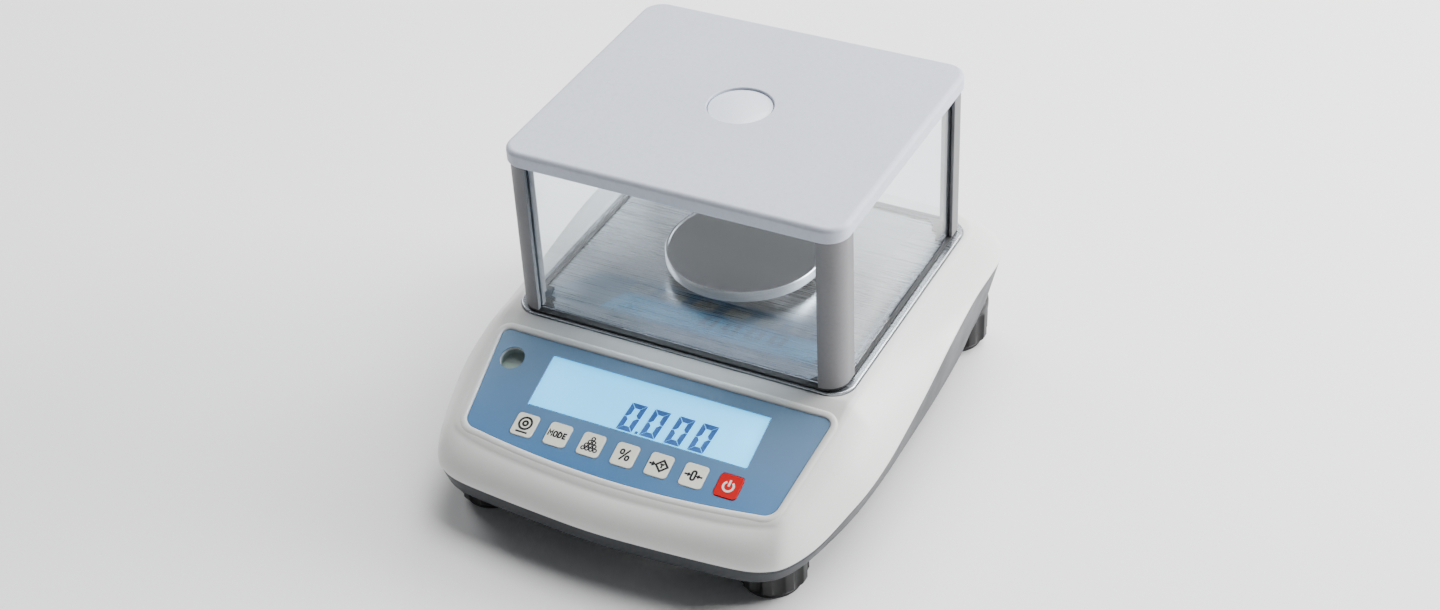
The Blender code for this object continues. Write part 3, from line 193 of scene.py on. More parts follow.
def leather_grain(name, colour, roughness, cell, depth):
    """Moulded leather grain: rounded pebbles with creases between them, painted darker as shade, over a
    cloudy colour.
    """
    n = Nodes(name)
    wobble = n.add("TexNoise", {"Scale": 700.0, "Vector": n.place})
    little = n.add("VectorMath", {0: wobble.outputs["Color"], "Scale": 0.0009}, operation="SCALE")
    bent = n.add("VectorMath", {0: n.place, 1: little.outputs[0]}, operation="ADD")
    pebble = n.add("TexVoronoi", {"Scale": 1000.0 / cell, "Vector": bent.outputs[0]},
                   feature="SMOOTH_F1").outputs["Distance"]
    fine = n.noise(2400.0, 2.0)
    cloud = n.noise(11.0, 3.0)
    tint = n.mix(n.spread(cloud, 0.0, 1.0), shade(colour, 0.965), shade(colour, 1.02))
    # Painted shade: the colour darkens in the creases between the pebbles.
    tint = n.mix(n.spread(pebble, 0.0, 0.5, 0.35, 0.8), tint, shade(colour, 0.86))
    n.set(Base_Color=tint, Roughness=n.spread(n.noise(60.0), roughness - 0.05, roughness + 0.06))
    n.bump(pebble, -0.55, depth)
    n.bump(fine, 0.2, 0.04)
    return n.material


def brushed(name, colour, roughness, along=(1.0, 0.0, 0.0), depth=0.02, streak=0.16, anisotropic=0.0):
    """Metal brushed along one axis: long thin scratches in colour, gloss and height."""
    n = Nodes(name)
    lines = n.noise(1.0, 3.0, 0.65, n.stretched(tuple(22.0 if axis else 2600.0 for axis in along)))
    broad = n.noise(1.0, 2.0, 0.5, n.stretched(tuple(5.0 if axis else 420.0 for axis in along)))
    smudge = n.noise(16.0, 3.0)
    tint = n.mix(n.spread(lines, 0.0, 1.0), shade(colour, 1 - streak), shade(colour, 1 + streak))
    tint = n.mix(n.spread(broad, 0.0, 0.4), tint, shade(colour, 0.93))
    rough = n.maths("ADD", n.spread(lines, roughness - 0.07, roughness + 0.09), n.spread(smudge, -0.03, 0.05))
    n.set(Base_Color=tint, Metallic=1.0, Roughness=rough, Anisotropic=anisotropic)
    n.bump(lines, 0.35, depth)
    return n.material


def metal(name, colour, roughness, wear=0.08):
    """Plain metal with faint smudges and fine scratches."""
    n = Nodes(name)
    smudge = n.noise(30.0, 4.0)
    tint = n.mix(n.spread(smudge, 0.0, 1.0), shade(colour, 1 - wear), shade(colour, 1 + wear))
    n.set(Base_Color=tint, Metallic=1.0, Roughness=n.spread(smudge, roughness * 0.7, roughness * 1.4))
    n.bump(n.noise(1500.0, 2.0), 0.15, 0.01)
    return n.material


def pan_steel():
    """Polished stainless steel: the level faces carry a painted reflection, a dark colour that stands for the
    dark surroundings they mirror; round the rim it is brighter satin steel.
    """
    n = Nodes("pan_steel")
    up = n.add("SeparateXYZ", {0: n.add("TexCoord").outputs["Normal"]}).outputs["Z"]
    level = n.spread(n.maths("ABSOLUTE", up), 0.0, 1.0, 0.55, 0.97)
    smudge = n.noise(16.0, 3.0)
    # Painted reflection: this dark colour on the level faces stands for the dark surroundings a polished face
    # would mirror.
    mirror = n.mix(n.spread(smudge, 0.0, 1.0), (0.17, 0.18, 0.195), (0.20, 0.21, 0.225))
    satin = n.mix(n.spread(n.noise(1.0, 2.0, 0.5, n.stretched((60.0, 60.0, 2400.0))), 0.0, 1.0),
                  (0.66, 0.67, 0.68), (0.78, 0.79, 0.80))
    n.set(Base_Color=n.mix(level, satin, mirror), Metallic=1.0,
          Roughness=n.maths("ADD", n.spread(level, 0.28, 0.09, 0.0, 1.0), n.spread(smudge, 0.0, 0.05)))
    n.bump(n.noise(900.0, 2.0), 0.1, 0.003)
    return n.material


def rubber():
    """Black rubber under a little dust."""
    n = Nodes("rubber")
    colour = (0.018, 0.018, 0.019)
    dust = n.noise(90.0, 5.0, 0.7)
    tint = n.mix(n.spread(dust, 0.0, 1.0, 0.5, 0.8), colour, shade(colour, 2.6))
    n.set(Base_Color=tint, Roughness=n.spread(dust, 0.55, 0.82))
    n.bump(n.noise(1800.0, 2.0), 0.4, 0.03)
    return n.material


def clear(name, tint, roughness=0.0, ior=1.46, haze=0.02, clarity=1.0):
    """Glass that lets lamplight through, with a trace of dust and fingermarks in its gloss."""
    n = Nodes(name)
    marks = n.noise(26.0, 5.0, 0.62)
    n.set(Base_Color=n.mix(n.spread(marks, 0.0, 1.0), shade(tint, 0.99), tint),
          Roughness=n.spread(marks, roughness, roughness + haze, 0.45, 0.85),
          Transmission_Weight=clarity, IOR=ior)
    shadow = n.add("LightPath").outputs["Is Shadow Ray"]
    through = n.add("BsdfTransparent", {"Color": tint})
    either = n.add("MixShader", {0: shadow, 1: n.shader.outputs[0], 2: through.outputs[0]})
    n.link(either.outputs[0], n.output.inputs["Surface"])
    return n.material


def film_blue():
    """Printed satin film with fine speckle, lighter towards the top: that lighter top is painted light,
    making up for the shadow the draft shield casts over the panel's top.
    """
    n = Nodes("keypad_film")
    depth = n.add("SeparateXYZ", {0: n.place}).outputs["Y"]
    # Painted light: the film grows lighter towards its top to make up for the draft shield's shadow there.
    painted_light_ramp = n.spread(depth, 0.0, 1.0, FOLD_Y - 66.0 * MM, FOLD_Y - 8.0 * MM)
    tint = n.mix(painted_light_ramp, (0.050, 0.185, 0.410), (0.190, 0.300, 0.430))
    tint = n.mix(n.spread(n.noise(1300.0, 2.0), 0.0, 0.25), tint, (0.10, 0.25, 0.46))
    tint = n.mix(n.spread(n.noise(22.0), 0.0, 0.18), tint, (0.06, 0.15, 0.32))
    n.set(Base_Color=tint, Roughness=n.spread(n.noise(50.0), 0.34, 0.46))
    n.bump(n.noise(1600.0, 2.0), 0.25, 0.012)
    return n.material


def lit_screen():
    """A back-lit display: an even pale blue, a little brighter in places, under a fine mesh."""
    n = Nodes("lcd_screen")
    cloud = n.noise(9.0, 1.0)
    tint = n.mix(n.spread(cloud, 0.0, 1.0), (0.07, 0.53, 0.93), (0.10, 0.58, 0.96))
    n.set(Base_Color=tint, Roughness=0.35, Specular_IOR_Level=0.3,
          Emission_Color=tint, Emission_Strength=1.75)
    n.bump(n.noise(2500.0, 1.0), 0.1, 0.01)
    return n.material


def inked(name, colour, roughness=0.5):
    n = Nodes(name)
    tint = n.mix(n.spread(n.noise(1200.0), 0.0, 1.0), shade(colour, 0.9), shade(colour, 1.15))
    n.set(Base_Color=tint, Roughness=n.spread(n.noise(300.0), roughness - 0.05, roughness + 0.05))
    return n.material


def circuit():
    """Green solder mask with copper traces just showing."""
    n = Nodes("circuit_board")
    traces = n.add("TexBrick", {"Scale": 260.0, "Mortar Size": 0.06, "Vector": n.place}).outputs["Fac"]
    tint = n.mix(traces, (0.012, 0.13, 0.055), (0.03, 0.24, 0.11))
    n.set(Base_Color=tint, Roughness=n.spread(n.noise(200.0), 0.3, 0.5), Coat_Weight=0.3)
    n.bump(traces, 0.3, 0.03)
    return n.material


WHITE = plastic("case_white", (0.74, 0.735, 0.715), 0.40, 0.035, 0.8, 0.03)
DARK = plastic("case_dark", (0.022, 0.026, 0.032), 0.44, 0.05, 0.9, 0.12, specular=0.35)
LID_GREY = leather_grain("lid_grey", (0.50, 0.535, 0.62), 0.50, 1.7, 0.30)
POST_GREY = leather_grain("post_grey", (0.155, 0.155, 0.162), 0.58, 1.3, 0.16)
PLUG_PALE = plastic("plug_pale", (0.72, 0.77, 0.86), 0.30, 0.01, 0.8, 0.02, 0.2)
GLASS = clear("shield_glass", (0.925, 0.965, 0.99))
LENS = clear("lens_clear", (0.97, 0.99, 1.0), 0.02)
RUBBER = rubber()
TRAY_STEEL = brushed("tray_steel", (0.48, 0.51, 0.545), 0.27, depth=0.005, streak=0.05, anisotropic=0.3)
ALUMINIUM = brushed("aluminium", (0.62, 0.63, 0.64), 0.38, (0.0, 1.0, 0.0))
PAN_STEEL = pan_steel()
FASTENER = metal("fastener_steel", (0.60, 0.60, 0.58), 0.28)
NICKEL = metal("connector_nickel", (0.62, 0.61, 0.58), 0.22)
GOLD = metal("contact_gold", (0.80, 0.58, 0.22), 0.25)
FILM = film_blue()
SCREEN = lit_screen()
IVORY = plastic("key_ivory", (0.93, 0.915, 0.80), 0.42, 0.02, 0.7)
RED = plastic("key_red", (0.62, 0.001, 0.004), 0.50, 0.02, 0.7, specular=0.15)
INK = inked("key_ink", (0.004, 0.004, 0.004))
WHITE_INK = inked("key_ink_white", (0.85, 0.85, 0.82))
DIGIT_INK = inked("digit_ink", (0.010, 0.10, 0.34), 0.4)
CIRCUIT = circuit()
RIBBON = plastic("ribbon_grey", (0.36, 0.36, 0.38), 0.55)
WRAP = plastic("battery_wrap", (0.05, 0.06, 0.08), 0.35)
FLUID = clear("vial_fluid", (0.60, 0.74, 0.66), 0.01, clarity=0.45)
SLEEVE = plastic("vial_sleeve", (0.36, 0.42, 0.41), 0.40)
CUP = plastic("vial_cup", (0.62, 0.63, 0.60), 0.45)
FOOT = plastic("foot_plastic", (0.010, 0.010, 0.011), 0.42, 0.05, 0.9, 0.15, specular=0.35)
BLACK = plastic("connector_black", (0.02, 0.02, 0.021), 0.42)


# Mesh helpers

def finish(obj, mat, body, slot, node=None, angle=35.0, flat=False):
    """Gives a piece its material, shading and body, and hides the CAD node it stands for."""
    obj.data.materials.clear()
    obj.data.materials.append(mat)
    for face in obj.data.polygons:
        face.material_index = 0
    obj.data.shade_smooth()
    obj.data.set_sharp_from_angle(angle=radians(angle))
    if flat:
        modifier = obj.modifiers.new("flat faces", "WEIGHTED_NORMAL")
        modifier.keep_sharp = True
        modifier.weight = 80
        bake(obj)
    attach(obj, body)
    if node:
        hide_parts(node)


def dress(obj, *about, **more):
    """Finishes a cut shell, keeping its flat faces flat beside rounded edges."""
    finish(obj, *about, **more, flat=True)


def add_object(name, data):
    obj = bpy.data.objects.new(name, data)
    bpy.context.scene.collection.objects.link(obj)
    return obj


def to_object(name, shape):
    mesh = bpy.data.meshes.new(name)
    shape.to_mesh(mesh)
    shape.free()
    return add_object(name, mesh)


def new_object(name, shape, matrix=None):
    bmesh.ops.recalc_face_normals(shape, faces=shape.faces)
    if matrix:
        bmesh.ops.transform(shape, matrix=matrix, verts=shape.verts)
    return to_object(name, shape)


def arc(centre, radius, start, end, count):
    turn = [radians(start + (end - start) * step / count) for step in range(count + 1)]
    return [(centre[0] + radius * cos(a), centre[1] + radius * sin(a)) for a in turn]


def rounded(width, depth, radius, x=0.0, y=0.0, count=12):
    w, d = width / 2 - radius, depth / 2 - radius
    return (arc((x + w, y - d), radius, -90, 0, count) + arc((x + w, y + d), radius, 0, 90, count)
            + arc((x - w, y + d), radius, 90, 180, count) + arc((x - w, y - d), radius, 180, 270, count))


def circle(x, y, radius, count=64):
    return arc((x, y), radius, 0, 360 - 360 / count, count - 1)


def near(x, z, *offsets):
    """Points that lie the given millimetres from one place."""
    return [(x + dx * MM, z + dz * MM) for dx, dz in offsets]


def bridge(shape, lower, upper):
    """Joins two loops of the same length."""
    for index in range(len(lower)):
        following = (index + 1) % len(lower)
        shape.faces.new((lower[index], lower[following], upper[following], upper[index]))


def outline_prism(shape, outline, low, high):
    """One closed prism on an outline, with a single face at each end."""
    bottom, top = ([shape.verts.new((x, y, z)) for x, y in outline] for z in (low, high))
    shape.faces.new(top)
    shape.faces.new(bottom[::-1])
    bridge(shape, bottom, top)


def prism(name, outlines, low, high, matrix=None):
    """Closed prisms that share two heights. They may be letters or symbols made of several strokes."""
    shape = bmesh.new()
    for outline in outlines:
        outline_prism(shape, outline, low, high)
    return new_object(name, shape, matrix)


def turned(name, profile, steps=64, centre=(0.0, 0.0, 0.0), matrix=None):
    """A turned solid from (radius, z) pairs down its outer side. Points on the axis are single."""
    shape = bmesh.new()
    turn = [2 * pi * step / steps for step in range(steps)]
    rings = [[shape.verts.new((radius * cos(a), radius * sin(a), z)) for a in turn]
             if radius >= 1e-7 else [shape.verts.new((0.0, 0.0, z))] * steps for radius, z in profile]
    for upper, lower in zip(rings, rings[1:]):
        if upper[0] == upper[-1] and lower[0] == lower[-1]:
            continue
        for step in range(steps):
            following = (step + 1) % steps
            corners = (upper[step], lower[step], lower[following], upper[following])
            shape.faces.new(list(dict.fromkeys(corners)))
    place = move(centre)
    return new_object(name, shape, place @ matrix if matrix else place)


def rounded_profile(points, radius, count=4):
    """A turned profile with each inner corner replaced by a short arc."""
    result = [points[0]]
    for before, corner, after in zip(points, points[1:], points[2:]):
        corner = Vector(corner)
        ways = [Vector(end) - corner for end in (before, after)]
        reach = min(radius, ways[0].length / 2.1, ways[1].length / 2.1)
        start, end = (corner + way.normalized() * reach for way in ways)
        for step in range(count + 1):
            t = step / count
            point = start * (1 - t) ** 2 + corner * 2 * t * (1 - t) + end * t ** 2
            result.append((point.x, point.y))
    result.append(points[-1])
    return result


def bevel(obj, width, segments=3, angle=50.0):
    modifier = obj.modifiers.new("edges", "BEVEL")
    modifier.width = width * MM
    modifier.segments = segments
    modifier.limit_method = "ANGLE"
    modifier.angle_limit = radians(angle)
    modifier.harden_normals = False
    return obj


def cut(obj, *tools, operation="DIFFERENCE"):
    for tool in tools:
        modifier = obj.modifiers.new(operation.lower(), "BOOLEAN")
        modifier.operation = operation
        modifier.object = tool
        modifier.solver = "EXACT"
    return bake(obj, *tools)


def bake(obj, *tools):
    """Applies the modifiers and removes the tools."""
    bpy.context.view_layer.update()
    graph = bpy.context.evaluated_depsgraph_get()
    mesh = bpy.data.meshes.new_from_object(obj.evaluated_get(graph))
    obj.modifiers.clear()
    obj.data = mesh
    for tool in tools:
        bpy.data.objects.remove(tool)
    return obj


def block(name, size, centre, width=0.0, matrix=None, segments=2):
    shape = bmesh.new()
    bmesh.ops.create_cube(shape, size=1.0, matrix=move(centre) @ Matrix.Diagonal((*size, 1.0)))
    obj = new_object(name, shape, matrix)
    return bake(bevel(obj, width, segments)) if width else obj


def merged(name, pieces):
    """Several meshes as one object."""
    shape = bmesh.new()
    for piece in pieces:
        shape.from_mesh(piece.data)
        bpy.data.objects.remove(piece)
    return to_object(name, shape)


def loft(name, loops, matrix=None, ring=False):
    """A solid through loops of points, closed by a face at each end or, as a ring, end to end."""
    shape = bmesh.new()
    loops = [[shape.verts.new(point) for point in loop] for loop in loops]
    for lower, upper in zip(loops, loops[1:] + (loops[:1] if ring else [])):
        bridge(shape, lower, upper)
    if not ring:
        shape.faces.new(loops[0][::-1])
        shape.faces.new(loops[-1])
    return new_object(name, shape, matrix)


def tiered(name, outline_at, levels, matrix=None, ring=False):
    """A solid that steps through outlines: each level is (growth, height), from low to high."""
    return loft(name, [[(x, y, z) for x, y in outline_at(grow)] for grow, z in levels], matrix, ring)


def edge_levels(low, high, bottom_r, top_r, count=5):
    """Levels of a plate whose two edges are rounded, by radii in millimetres."""
    bottom_r, top_r = mm(bottom_r, top_r)
    turn = [radians(90.0 * step / count) for step in range(count + 1)]
    levels = [(-bottom_r * (1 - sin(a)), low + bottom_r * (1 - cos(a))) for a in turn]
    return levels + [(-top_r * (1 - cos(a)), high - top_r * (1 - sin(a))) for a in turn]


# Case halves

def top_height(y):
    """Height of the case's top at a depth, with a soft fold where the sloping panel starts."""
    slope = tan(PANEL_ANGLE)
    down = FOLD_Y - y
    if down <= -FOLD_SOFT:
        return PLATEAU_Z
    if down >= FOLD_SOFT:
        return PLATEAU_Z - down * slope
    return PLATEAU_Z - slope * (down + FOLD_SOFT) ** 2 / (4 * FOLD_SOFT)


def stations():
    """The case's right half in plan, front to back: a crease, an edge and a base point each."""
    middle = (FOLD_Y + TRAY_Y) / 2

    def row(crease_x, crease_y, edge, base_x, base_y):
        return Vector((crease_x, crease_y, 0.0)), Vector(edge), Vector((base_x, base_y, BASE_Z))

    def ahead(share):
        return FOLD_Y - share * PANEL_RUN

    def nose(crease_share, share, edge_share, edge_up, base_up):
        return row(crease_share * CREASE_X, ahead(share),
                   (edge_share * EDGE_X, FRONT_Y + edge_up * MM, FRONT_EDGE_Z),
                   edge_share * EDGE_X, FRONT_Y + base_up * MM)

    def corner(inward, share, in_x, up_y, rise, base_in, base_up):
        return row(CREASE_X - inward * MM, ahead(share),
                   (EDGE_X - in_x * MM, FRONT_Y + up_y * MM, FRONT_EDGE_Z + rise * MM),
                   EDGE_X - base_in * MM, FRONT_Y + base_up * MM)

    def side(from_y, inward, y, in_x, edge_y, z, base_in, base_y):
        return row(CREASE_X - inward * MM, from_y + y * MM, (EDGE_X - in_x * MM, from_y + edge_y * MM, z),
                   EDGE_X - base_in * MM, from_y + base_y * MM)

    return [
        nose(0.0, 1.0, 0.0, 0.0, 1.3), nose(0.27, 0.99, 0.25, 1.2, 2.5), nose(0.56, 0.963, 0.52, 3.5, 4.8),
        corner(25.0, 0.935, 35.4, 5.8, 0.0, 35.9, 7.3), corner(13.9, 0.90, 25.4, 9.7, 0.1, 26.9, 11.5),
        corner(8.2, 0.86, 19.4, 15.0, 0.3, 21.4, 17.0), corner(5.8, 0.78, 13.9, 25.0, 1.0, 16.9, 26.5),
        corner(5.0, 0.655, 9.6, 36.5, 2.9, 13.9, 37.5), corner(3.5, 0.48, 5.4, 52.0, 6.5, 10.9, 52.5),
        corner(1.9, 0.31, 2.1, 66.5, 9.5, 8.8, 66.5), corner(0.7, 0.09, 0.4, 82.5, 12.3, 7.6, 82.5),
        side(middle, 0.0, -25.0, 0.0, -25.0, SIDE_EDGE_Z, 7.0, -25.0),
        side(middle, 0.0, 7.0, 0.3, 7.0, SIDE_EDGE_Z + 5.2 * MM, 7.0, 7.0),
        side(TRAY_Y, 0.0, 0.0, 0.8, 0.0, REAR_EDGE_Z - 4.4 * MM, 7.4, 0.0),
        side(TRAY_Y, 0.0, 32.0, 1.4, 32.0, REAR_EDGE_Z, 8.8, 32.0),
        side(BACK_Y, 0.0, -42.5, 1.8, -44.5, REAR_EDGE_Z - 0.5 * MM, 11.4, -44.5),
        side(BACK_Y, 0.8, -29.5, 3.6, -26.5, BACK_EDGE_Z + 0.4 * MM, 12.4, -27.5),
        side(BACK_Y, 4.5, -21.0, 8.4, -16.5, BACK_EDGE_Z, 16.4, -18.5),
        side(BACK_Y, 12.0, -15.7, 17.9, -8.0, BACK_EDGE_Z, 25.4, -10.5),
        side(BACK_Y, 24.0, -12.9, 33.4, -3.5, BACK_EDGE_Z, 38.4, -6.0),
        row(0.48 * CREASE_X, BACK_Y - 11.3 * MM, (0.43 * EDGE_X, BACK_Y - 0.7 * MM, BACK_EDGE_Z),
            0.43 * EDGE_X, BACK_Y - 3.3 * MM),
        row(0.0, BACK_Y - 10.5 * MM, (0.0, BACK_Y, BACK_EDGE_Z), 0.0, BACK_Y - 2.5 * MM),
    ]


def closed_ring(points, samples):
    """A smooth closed curve through the half's points and their mirror images."""
    loop = points + [Vector((-p.x, p.y, p.z)) for p in points[-2:0:-1]]
    ring = []
    for step in range(samples):
        place = step / samples * len(loop)
        index, t = int(place), place - int(place)
        a, b, c, d = (loop[(index + offset) % len(loop)] for offset in (-1, 0, 1, 2))
        point = 0.5 * ((2 * b) + (c - a) * t + (2 * a - 5 * b + 4 * c - d) * t * t
                       + (3 * b - a - 3 * c + d) * t * t * t)
        point.x = max(-EDGE_X, min(EDGE_X, point.x))
        ring.append(point)
    return ring


def inset(ring, distance):
    result = []
    for index, point in enumerate(ring):
        along = ring[(index + 1) % len(ring)] - ring[index - 1]
        result.append(point + Vector((-along.y, along.x, 0.0)).normalized() * distance)
    return result


def raised(ring, height):
    return [Vector((p.x, p.y, p.z + height)) for p in ring]


def on_top(ring, drop):
    return [Vector((p.x, p.y, top_height(p.y) - drop)) for p in ring]


def band(crease, edge, shares):
    """Rings between the crease and the edge, bowed outwards, most of all round the front."""
    rings = []
    for share in shares:
        ring = []
        for start, end in zip(crease, edge):
            front = min(1.0, max(0.0, (FOLD_Y - start.y) / PANEL_RUN))
            out, fall = 0.62 + 0.22 * front, 0.40 - 0.16 * front
            middle = start + (end - start) * out
            middle.z = start.z + (end.z - start.z) * fall
            ring.append(start * (1 - share) ** 2 + middle * 2 * share * (1 - share) + end * share ** 2)
        rings.append(ring)
    return rings


def skin(shape, rings):
    loops = [[shape.verts.new(point) for point in ring] for ring in rings]
    for upper, lower in zip(loops, loops[1:]):
        for index in range(len(upper)):
            following = (index + 1) % len(upper)
            shape.faces.new((upper[following], upper[index], lower[index], lower[following]))
    return loops


def close_across(shape, loop):
    """Closes a loop that is the same on both sides with strips that run straight across."""
    count = len(loop)
    shape.faces.new((loop[0], loop[1], loop[-1]))
    for index in range(1, count // 2 - 1):
        shape.faces.new((loop[index], loop[index + 1], loop[count - index - 1], loop[count - index]))
    middle = count // 2
    shape.faces.new((loop[middle - 1], loop[middle], loop[middle + 1]))


SAMPLES = 336
ROWS = stations()
CREASE, EDGE, BASE = (closed_ring([row[column] for row in ROWS], SAMPLES) for column in range(3))
CREASE = on_top(CREASE, CREASE_DROP)


def film_outline(grow=0.0):
    """The keypad film's outline in panel coordinates, enlarged all round by grow."""
    top = -OVERLAY_TOP + grow
    bottom = -(OVERLAY_TOP + OVERLAY_LENGTH - OVERLAY_BOW) - grow
    top_x = CREASE_X - OVERLAY_TOP_INSET + grow
    low_x = CREASE_X - OVERLAY_BOTTOM_INSET + grow
    top_r, low_r = OVERLAY_TOP_R + grow, OVERLAY_BOTTOM_R + grow
    lean = degrees(atan2(top_x - low_x, top - bottom))
    half = low_x - low_r
    bow_r = (half ** 2 + OVERLAY_BOW ** 2) / (2 * OVERLAY_BOW)
    sweep = degrees(asin(half / bow_r))
    right = arc((low_x - low_r, bottom + low_r), low_r, -90 + sweep, -lean, 14)
    right += arc((top_x - top_r, top - top_r), top_r, -lean, 90, 14)
    left = [(-x, y) for x, y in reversed(right)]
    bow = arc((0.0, bottom - OVERLAY_BOW + bow_r), bow_r, -90 - sweep, -90 + sweep, 40)
    return bow[1:-1] + right + left


def key_places():
    middle = (len(KEY_NAMES) - 1) / 2
    return [KEY_RIGHT + (index - middle) * KEY_PITCH for index in range(len(KEY_NAMES))]


def tray_outline(grow, width=None, depth=None, radius=11.7 * MM):
    width = width or TRAY_HIGH.x - TRAY_LOW.x
    depth = depth or TRAY_HIGH.y - TRAY_LOW.y
    return rounded(width + 2 * grow, depth + 2 * grow, radius + grow, 0.0, TRAY_Y, 16)


def panel_holes(margin, radius):
    """Outlines of the display's opening and the level's hole in panel coordinates."""
    return [rounded(LCD_WIDTH + 2 * margin, LCD_HEIGHT + 2 * margin, radius, LCD_RIGHT, -LCD_DOWN, 4),
            circle(-LEVEL_LEFT, -LEVEL_DOWN, LEVEL_R)]


def upper_shell():
    lip = raised(EDGE, LIP)
    flats = [on_top(inset(CREASE, SHOULDER + 0.8 * MM), 0.0), on_top(inset(CREASE, SHOULDER), 0.0)]
    roll = [on_top(inset(CREASE, SHOULDER * (1 - t)), CREASE_DROP * t * t) for t in (0.2, 0.4, 0.6, 0.8)]
    shares = [step / 16 for step in range(1, 17)]
    shape = bmesh.new()
    loops = skin(shape, flats + roll + [CREASE] + band(CREASE, lip, shares) + [EDGE])
    close_across(shape, loops[0])
    shell = new_object("upper_shell", shape)
    solid = shell.modifiers.new("wall", "SOLIDIFY")
    solid.thickness = WALL
    solid.offset = -1.0
    solid.use_even_offset = True
    bake(shell)

    levels = near(GAP, PLATEAU_Z, (0, -1.0), (0, -0.35), (0.15, -0.12), (0.45, 0.02), (0.45, 3.0))
    recess = tiered("recess", tray_outline, levels)
    levels = [(GAP, -OVERLAY_POCKET)] + near(GAP, 0, (0, -0.2), (0.3, 0.1), (0.3, 3.0))
    pocket = tiered("pocket", film_outline, levels, PANEL)
    holes = panel_holes(2.3 * MM, 0.6 * MM) + [circle(x, -KEY_DOWN, 2.9 * MM, 24) for x in key_places()]
    through = prism("through", holes, -8.0 * MM, 2.0 * MM, PANEL)
    column = prism("column", [circle(0.0, PAN_Y, COLUMN_R)], PLATEAU_Z - 8.0 * MM, PLATEAU_Z + 3.0 * MM)
    cut(shell, recess, pocket, through, column)
    dress(shell, WHITE, "case", "case_white", "upper_housing")


def bezel_bead():
    """The soft raised border that the keypad film lies inside."""
    profile = near(0, 0, (0.45, -0.8), (0.45, 0.05), (0.6, 0.28), (0.95, 0.42), (1.7, 0.5), (2.5, 0.46),
                   (3.1, 0.3), (3.5, 0.08), (3.8, -0.1), (3.8, -0.8))
    ring = tiered("bezel_bead", film_outline, profile, PANEL, ring=True)
    finish(ring, WHITE, "case", "case_white", angle=50.0)


def foot_pocket(name, wall, low, bore, bore_top):
    """A turned body over each foot: the pocket's void or, grown by wall, its outside."""
    radius, top, rounding = (size + POCKET_CLEARANCE + wall for size in (FOOT_R, FOOT_TOP, FOOT_ROUND))
    roof = arc((radius - rounding, top - rounding), rounding, 90, 0, 6)
    profile = [(0.0, bore_top), (bore, bore_top), (bore, top)] + roof + [(radius, low), (0.0, low)]
    return [turned(name, profile, 64, plan_centre("foot_knob_" + corner)) for corner in CORNERS]


def lower_shell():
    def rings(distance):
        top = inset([Vector((p.x, p.y, p.z - GAP)) for p in inset(EDGE, EDGE_STEP)], distance)[::2]
        lip = raised(top, -LIP)
        bottom = inset(BASE, distance)[::2]
        foot = raised(bottom, BASE_ROUND)
        middle = [[a.lerp(b, share / 7) for a, b in zip(lip, foot)] for share in range(1, 7)]
        low = [raised(inset(bottom, BASE_ROUND * (1 - sin(a))), BASE_ROUND * (1 - cos(a)))
               for a in (radians(60), radians(30), 0.0)]
        return [top, lip] + middle + [foot] + low

    outer_rings = rings(0.0)
    inner_rings = [inset(ring, WALL) for ring in outer_rings[:7]]
    inner_rings.append(raised(inset(BASE, WALL + BASE_ROUND)[::2], WALL))
    shape = bmesh.new()
    outer_loops, inner_loops = skin(shape, outer_rings), skin(shape, inner_rings)
    close_across(shape, outer_loops[-1])
    close_across(shape, inner_loops[-1])
    bridge(shape, outer_loops[0], inner_loops[0])
    shell = new_object("lower_shell", shape)

    shape = bmesh.new()
    loops = skin(shape, rings(WALL / 3))
    close_across(shape, loops[0])
    close_across(shape, loops[-1])
    envelope = new_object("envelope", shape)
    walls = foot_pocket("wall", POCKET_WALL, BASE_Z + WALL / 3, STUD_R + 3.0 * MM, STUD_TOP)
    walls = cut(merged("walls", walls), envelope, operation="INTERSECT")
    cut(shell, walls, operation="UNION")

    voids = foot_pocket("void", 0.0, BASE_Z - 5.0 * MM, STUD_R + GAP, STUD_TOP + 2.0 * MM)
    seat = BASE_Z + 2 * GAP + SCREW_HEAD + GAP
    profile = (near(0, BASE_Z, (0, 8.0), (2.2, 8.0)) + near(0, seat, (2.2, 0), (4.1, 0))
               + near(0, BASE_Z, (4.1, -2.0), (0, -2.0)))
    voids += [turned("screw_void", profile, 32, plan_centre(screw)) for screw in SCREWS]
    low, high = span("battery_door")
    door, size = (low + high) / 2, high - low
    openings = (((size.x + 0.6 * MM, size.y + 0.6 * MM, 10.0 * MM), (door.x, door.y, BASE_Z)),
                (mm(10.6, 30.0, 11.6), (JACK_X, BACK_Y, PORT_Z)),
                (mm(31.4, 30.0, 13.1), (PORT_X, BACK_Y, PORT_Z)))
    cut(shell, *voids, *(block("opening", *opening) for opening in openings))
    dress(shell, DARK, "case", "case_dark", "lower_housing")


# Draft shield, lid and pan

def tray_sheet():
    low, high = TRAY_LOW.z, TRAY_HIGH.z
    sheet = tiered("tray_sheet", tray_outline, edge_levels(low, high, 0.2, 0.55, 4))
    hole = prism("hole", [circle(0.0, PAN_Y, COLUMN_R)], low - 3.0 * MM, high + 3.0 * MM)
    dress(cut(sheet, hole), TRAY_STEEL, "case", "tray_steel", "tray_plate", 60.0)


def post_outline():
    """The front right post in plan, from the tray's middle, with its two slots for glass."""
    right, front, face, side, radius = mm(86.2, -76.3, 11.6, 16.3, 10.5)
    wall, side_wall, inner, depth, slot = mm(2.5, 1.6, 3.2, 5.2, 2.6)
    left, back, glass_y, glass_x = right - face, front + side, front + wall, right - side_wall
    rim = glass_x - slot - inner + GAP
    outline = [(left, front)] + arc((right - radius, front + radius), radius, -90, 0, 20)
    outline += [(right, back), (glass_x, back), (glass_x, back - depth), (glass_x - slot, back - depth),
                (glass_x - slot, back), (rim, back), (rim, glass_y + slot + inner)]
    return outline + [(left, glass_y + slot + inner), (left, glass_y + slot), (left + depth, glass_y + slot),
                      (left + depth, glass_y), (left, glass_y)]


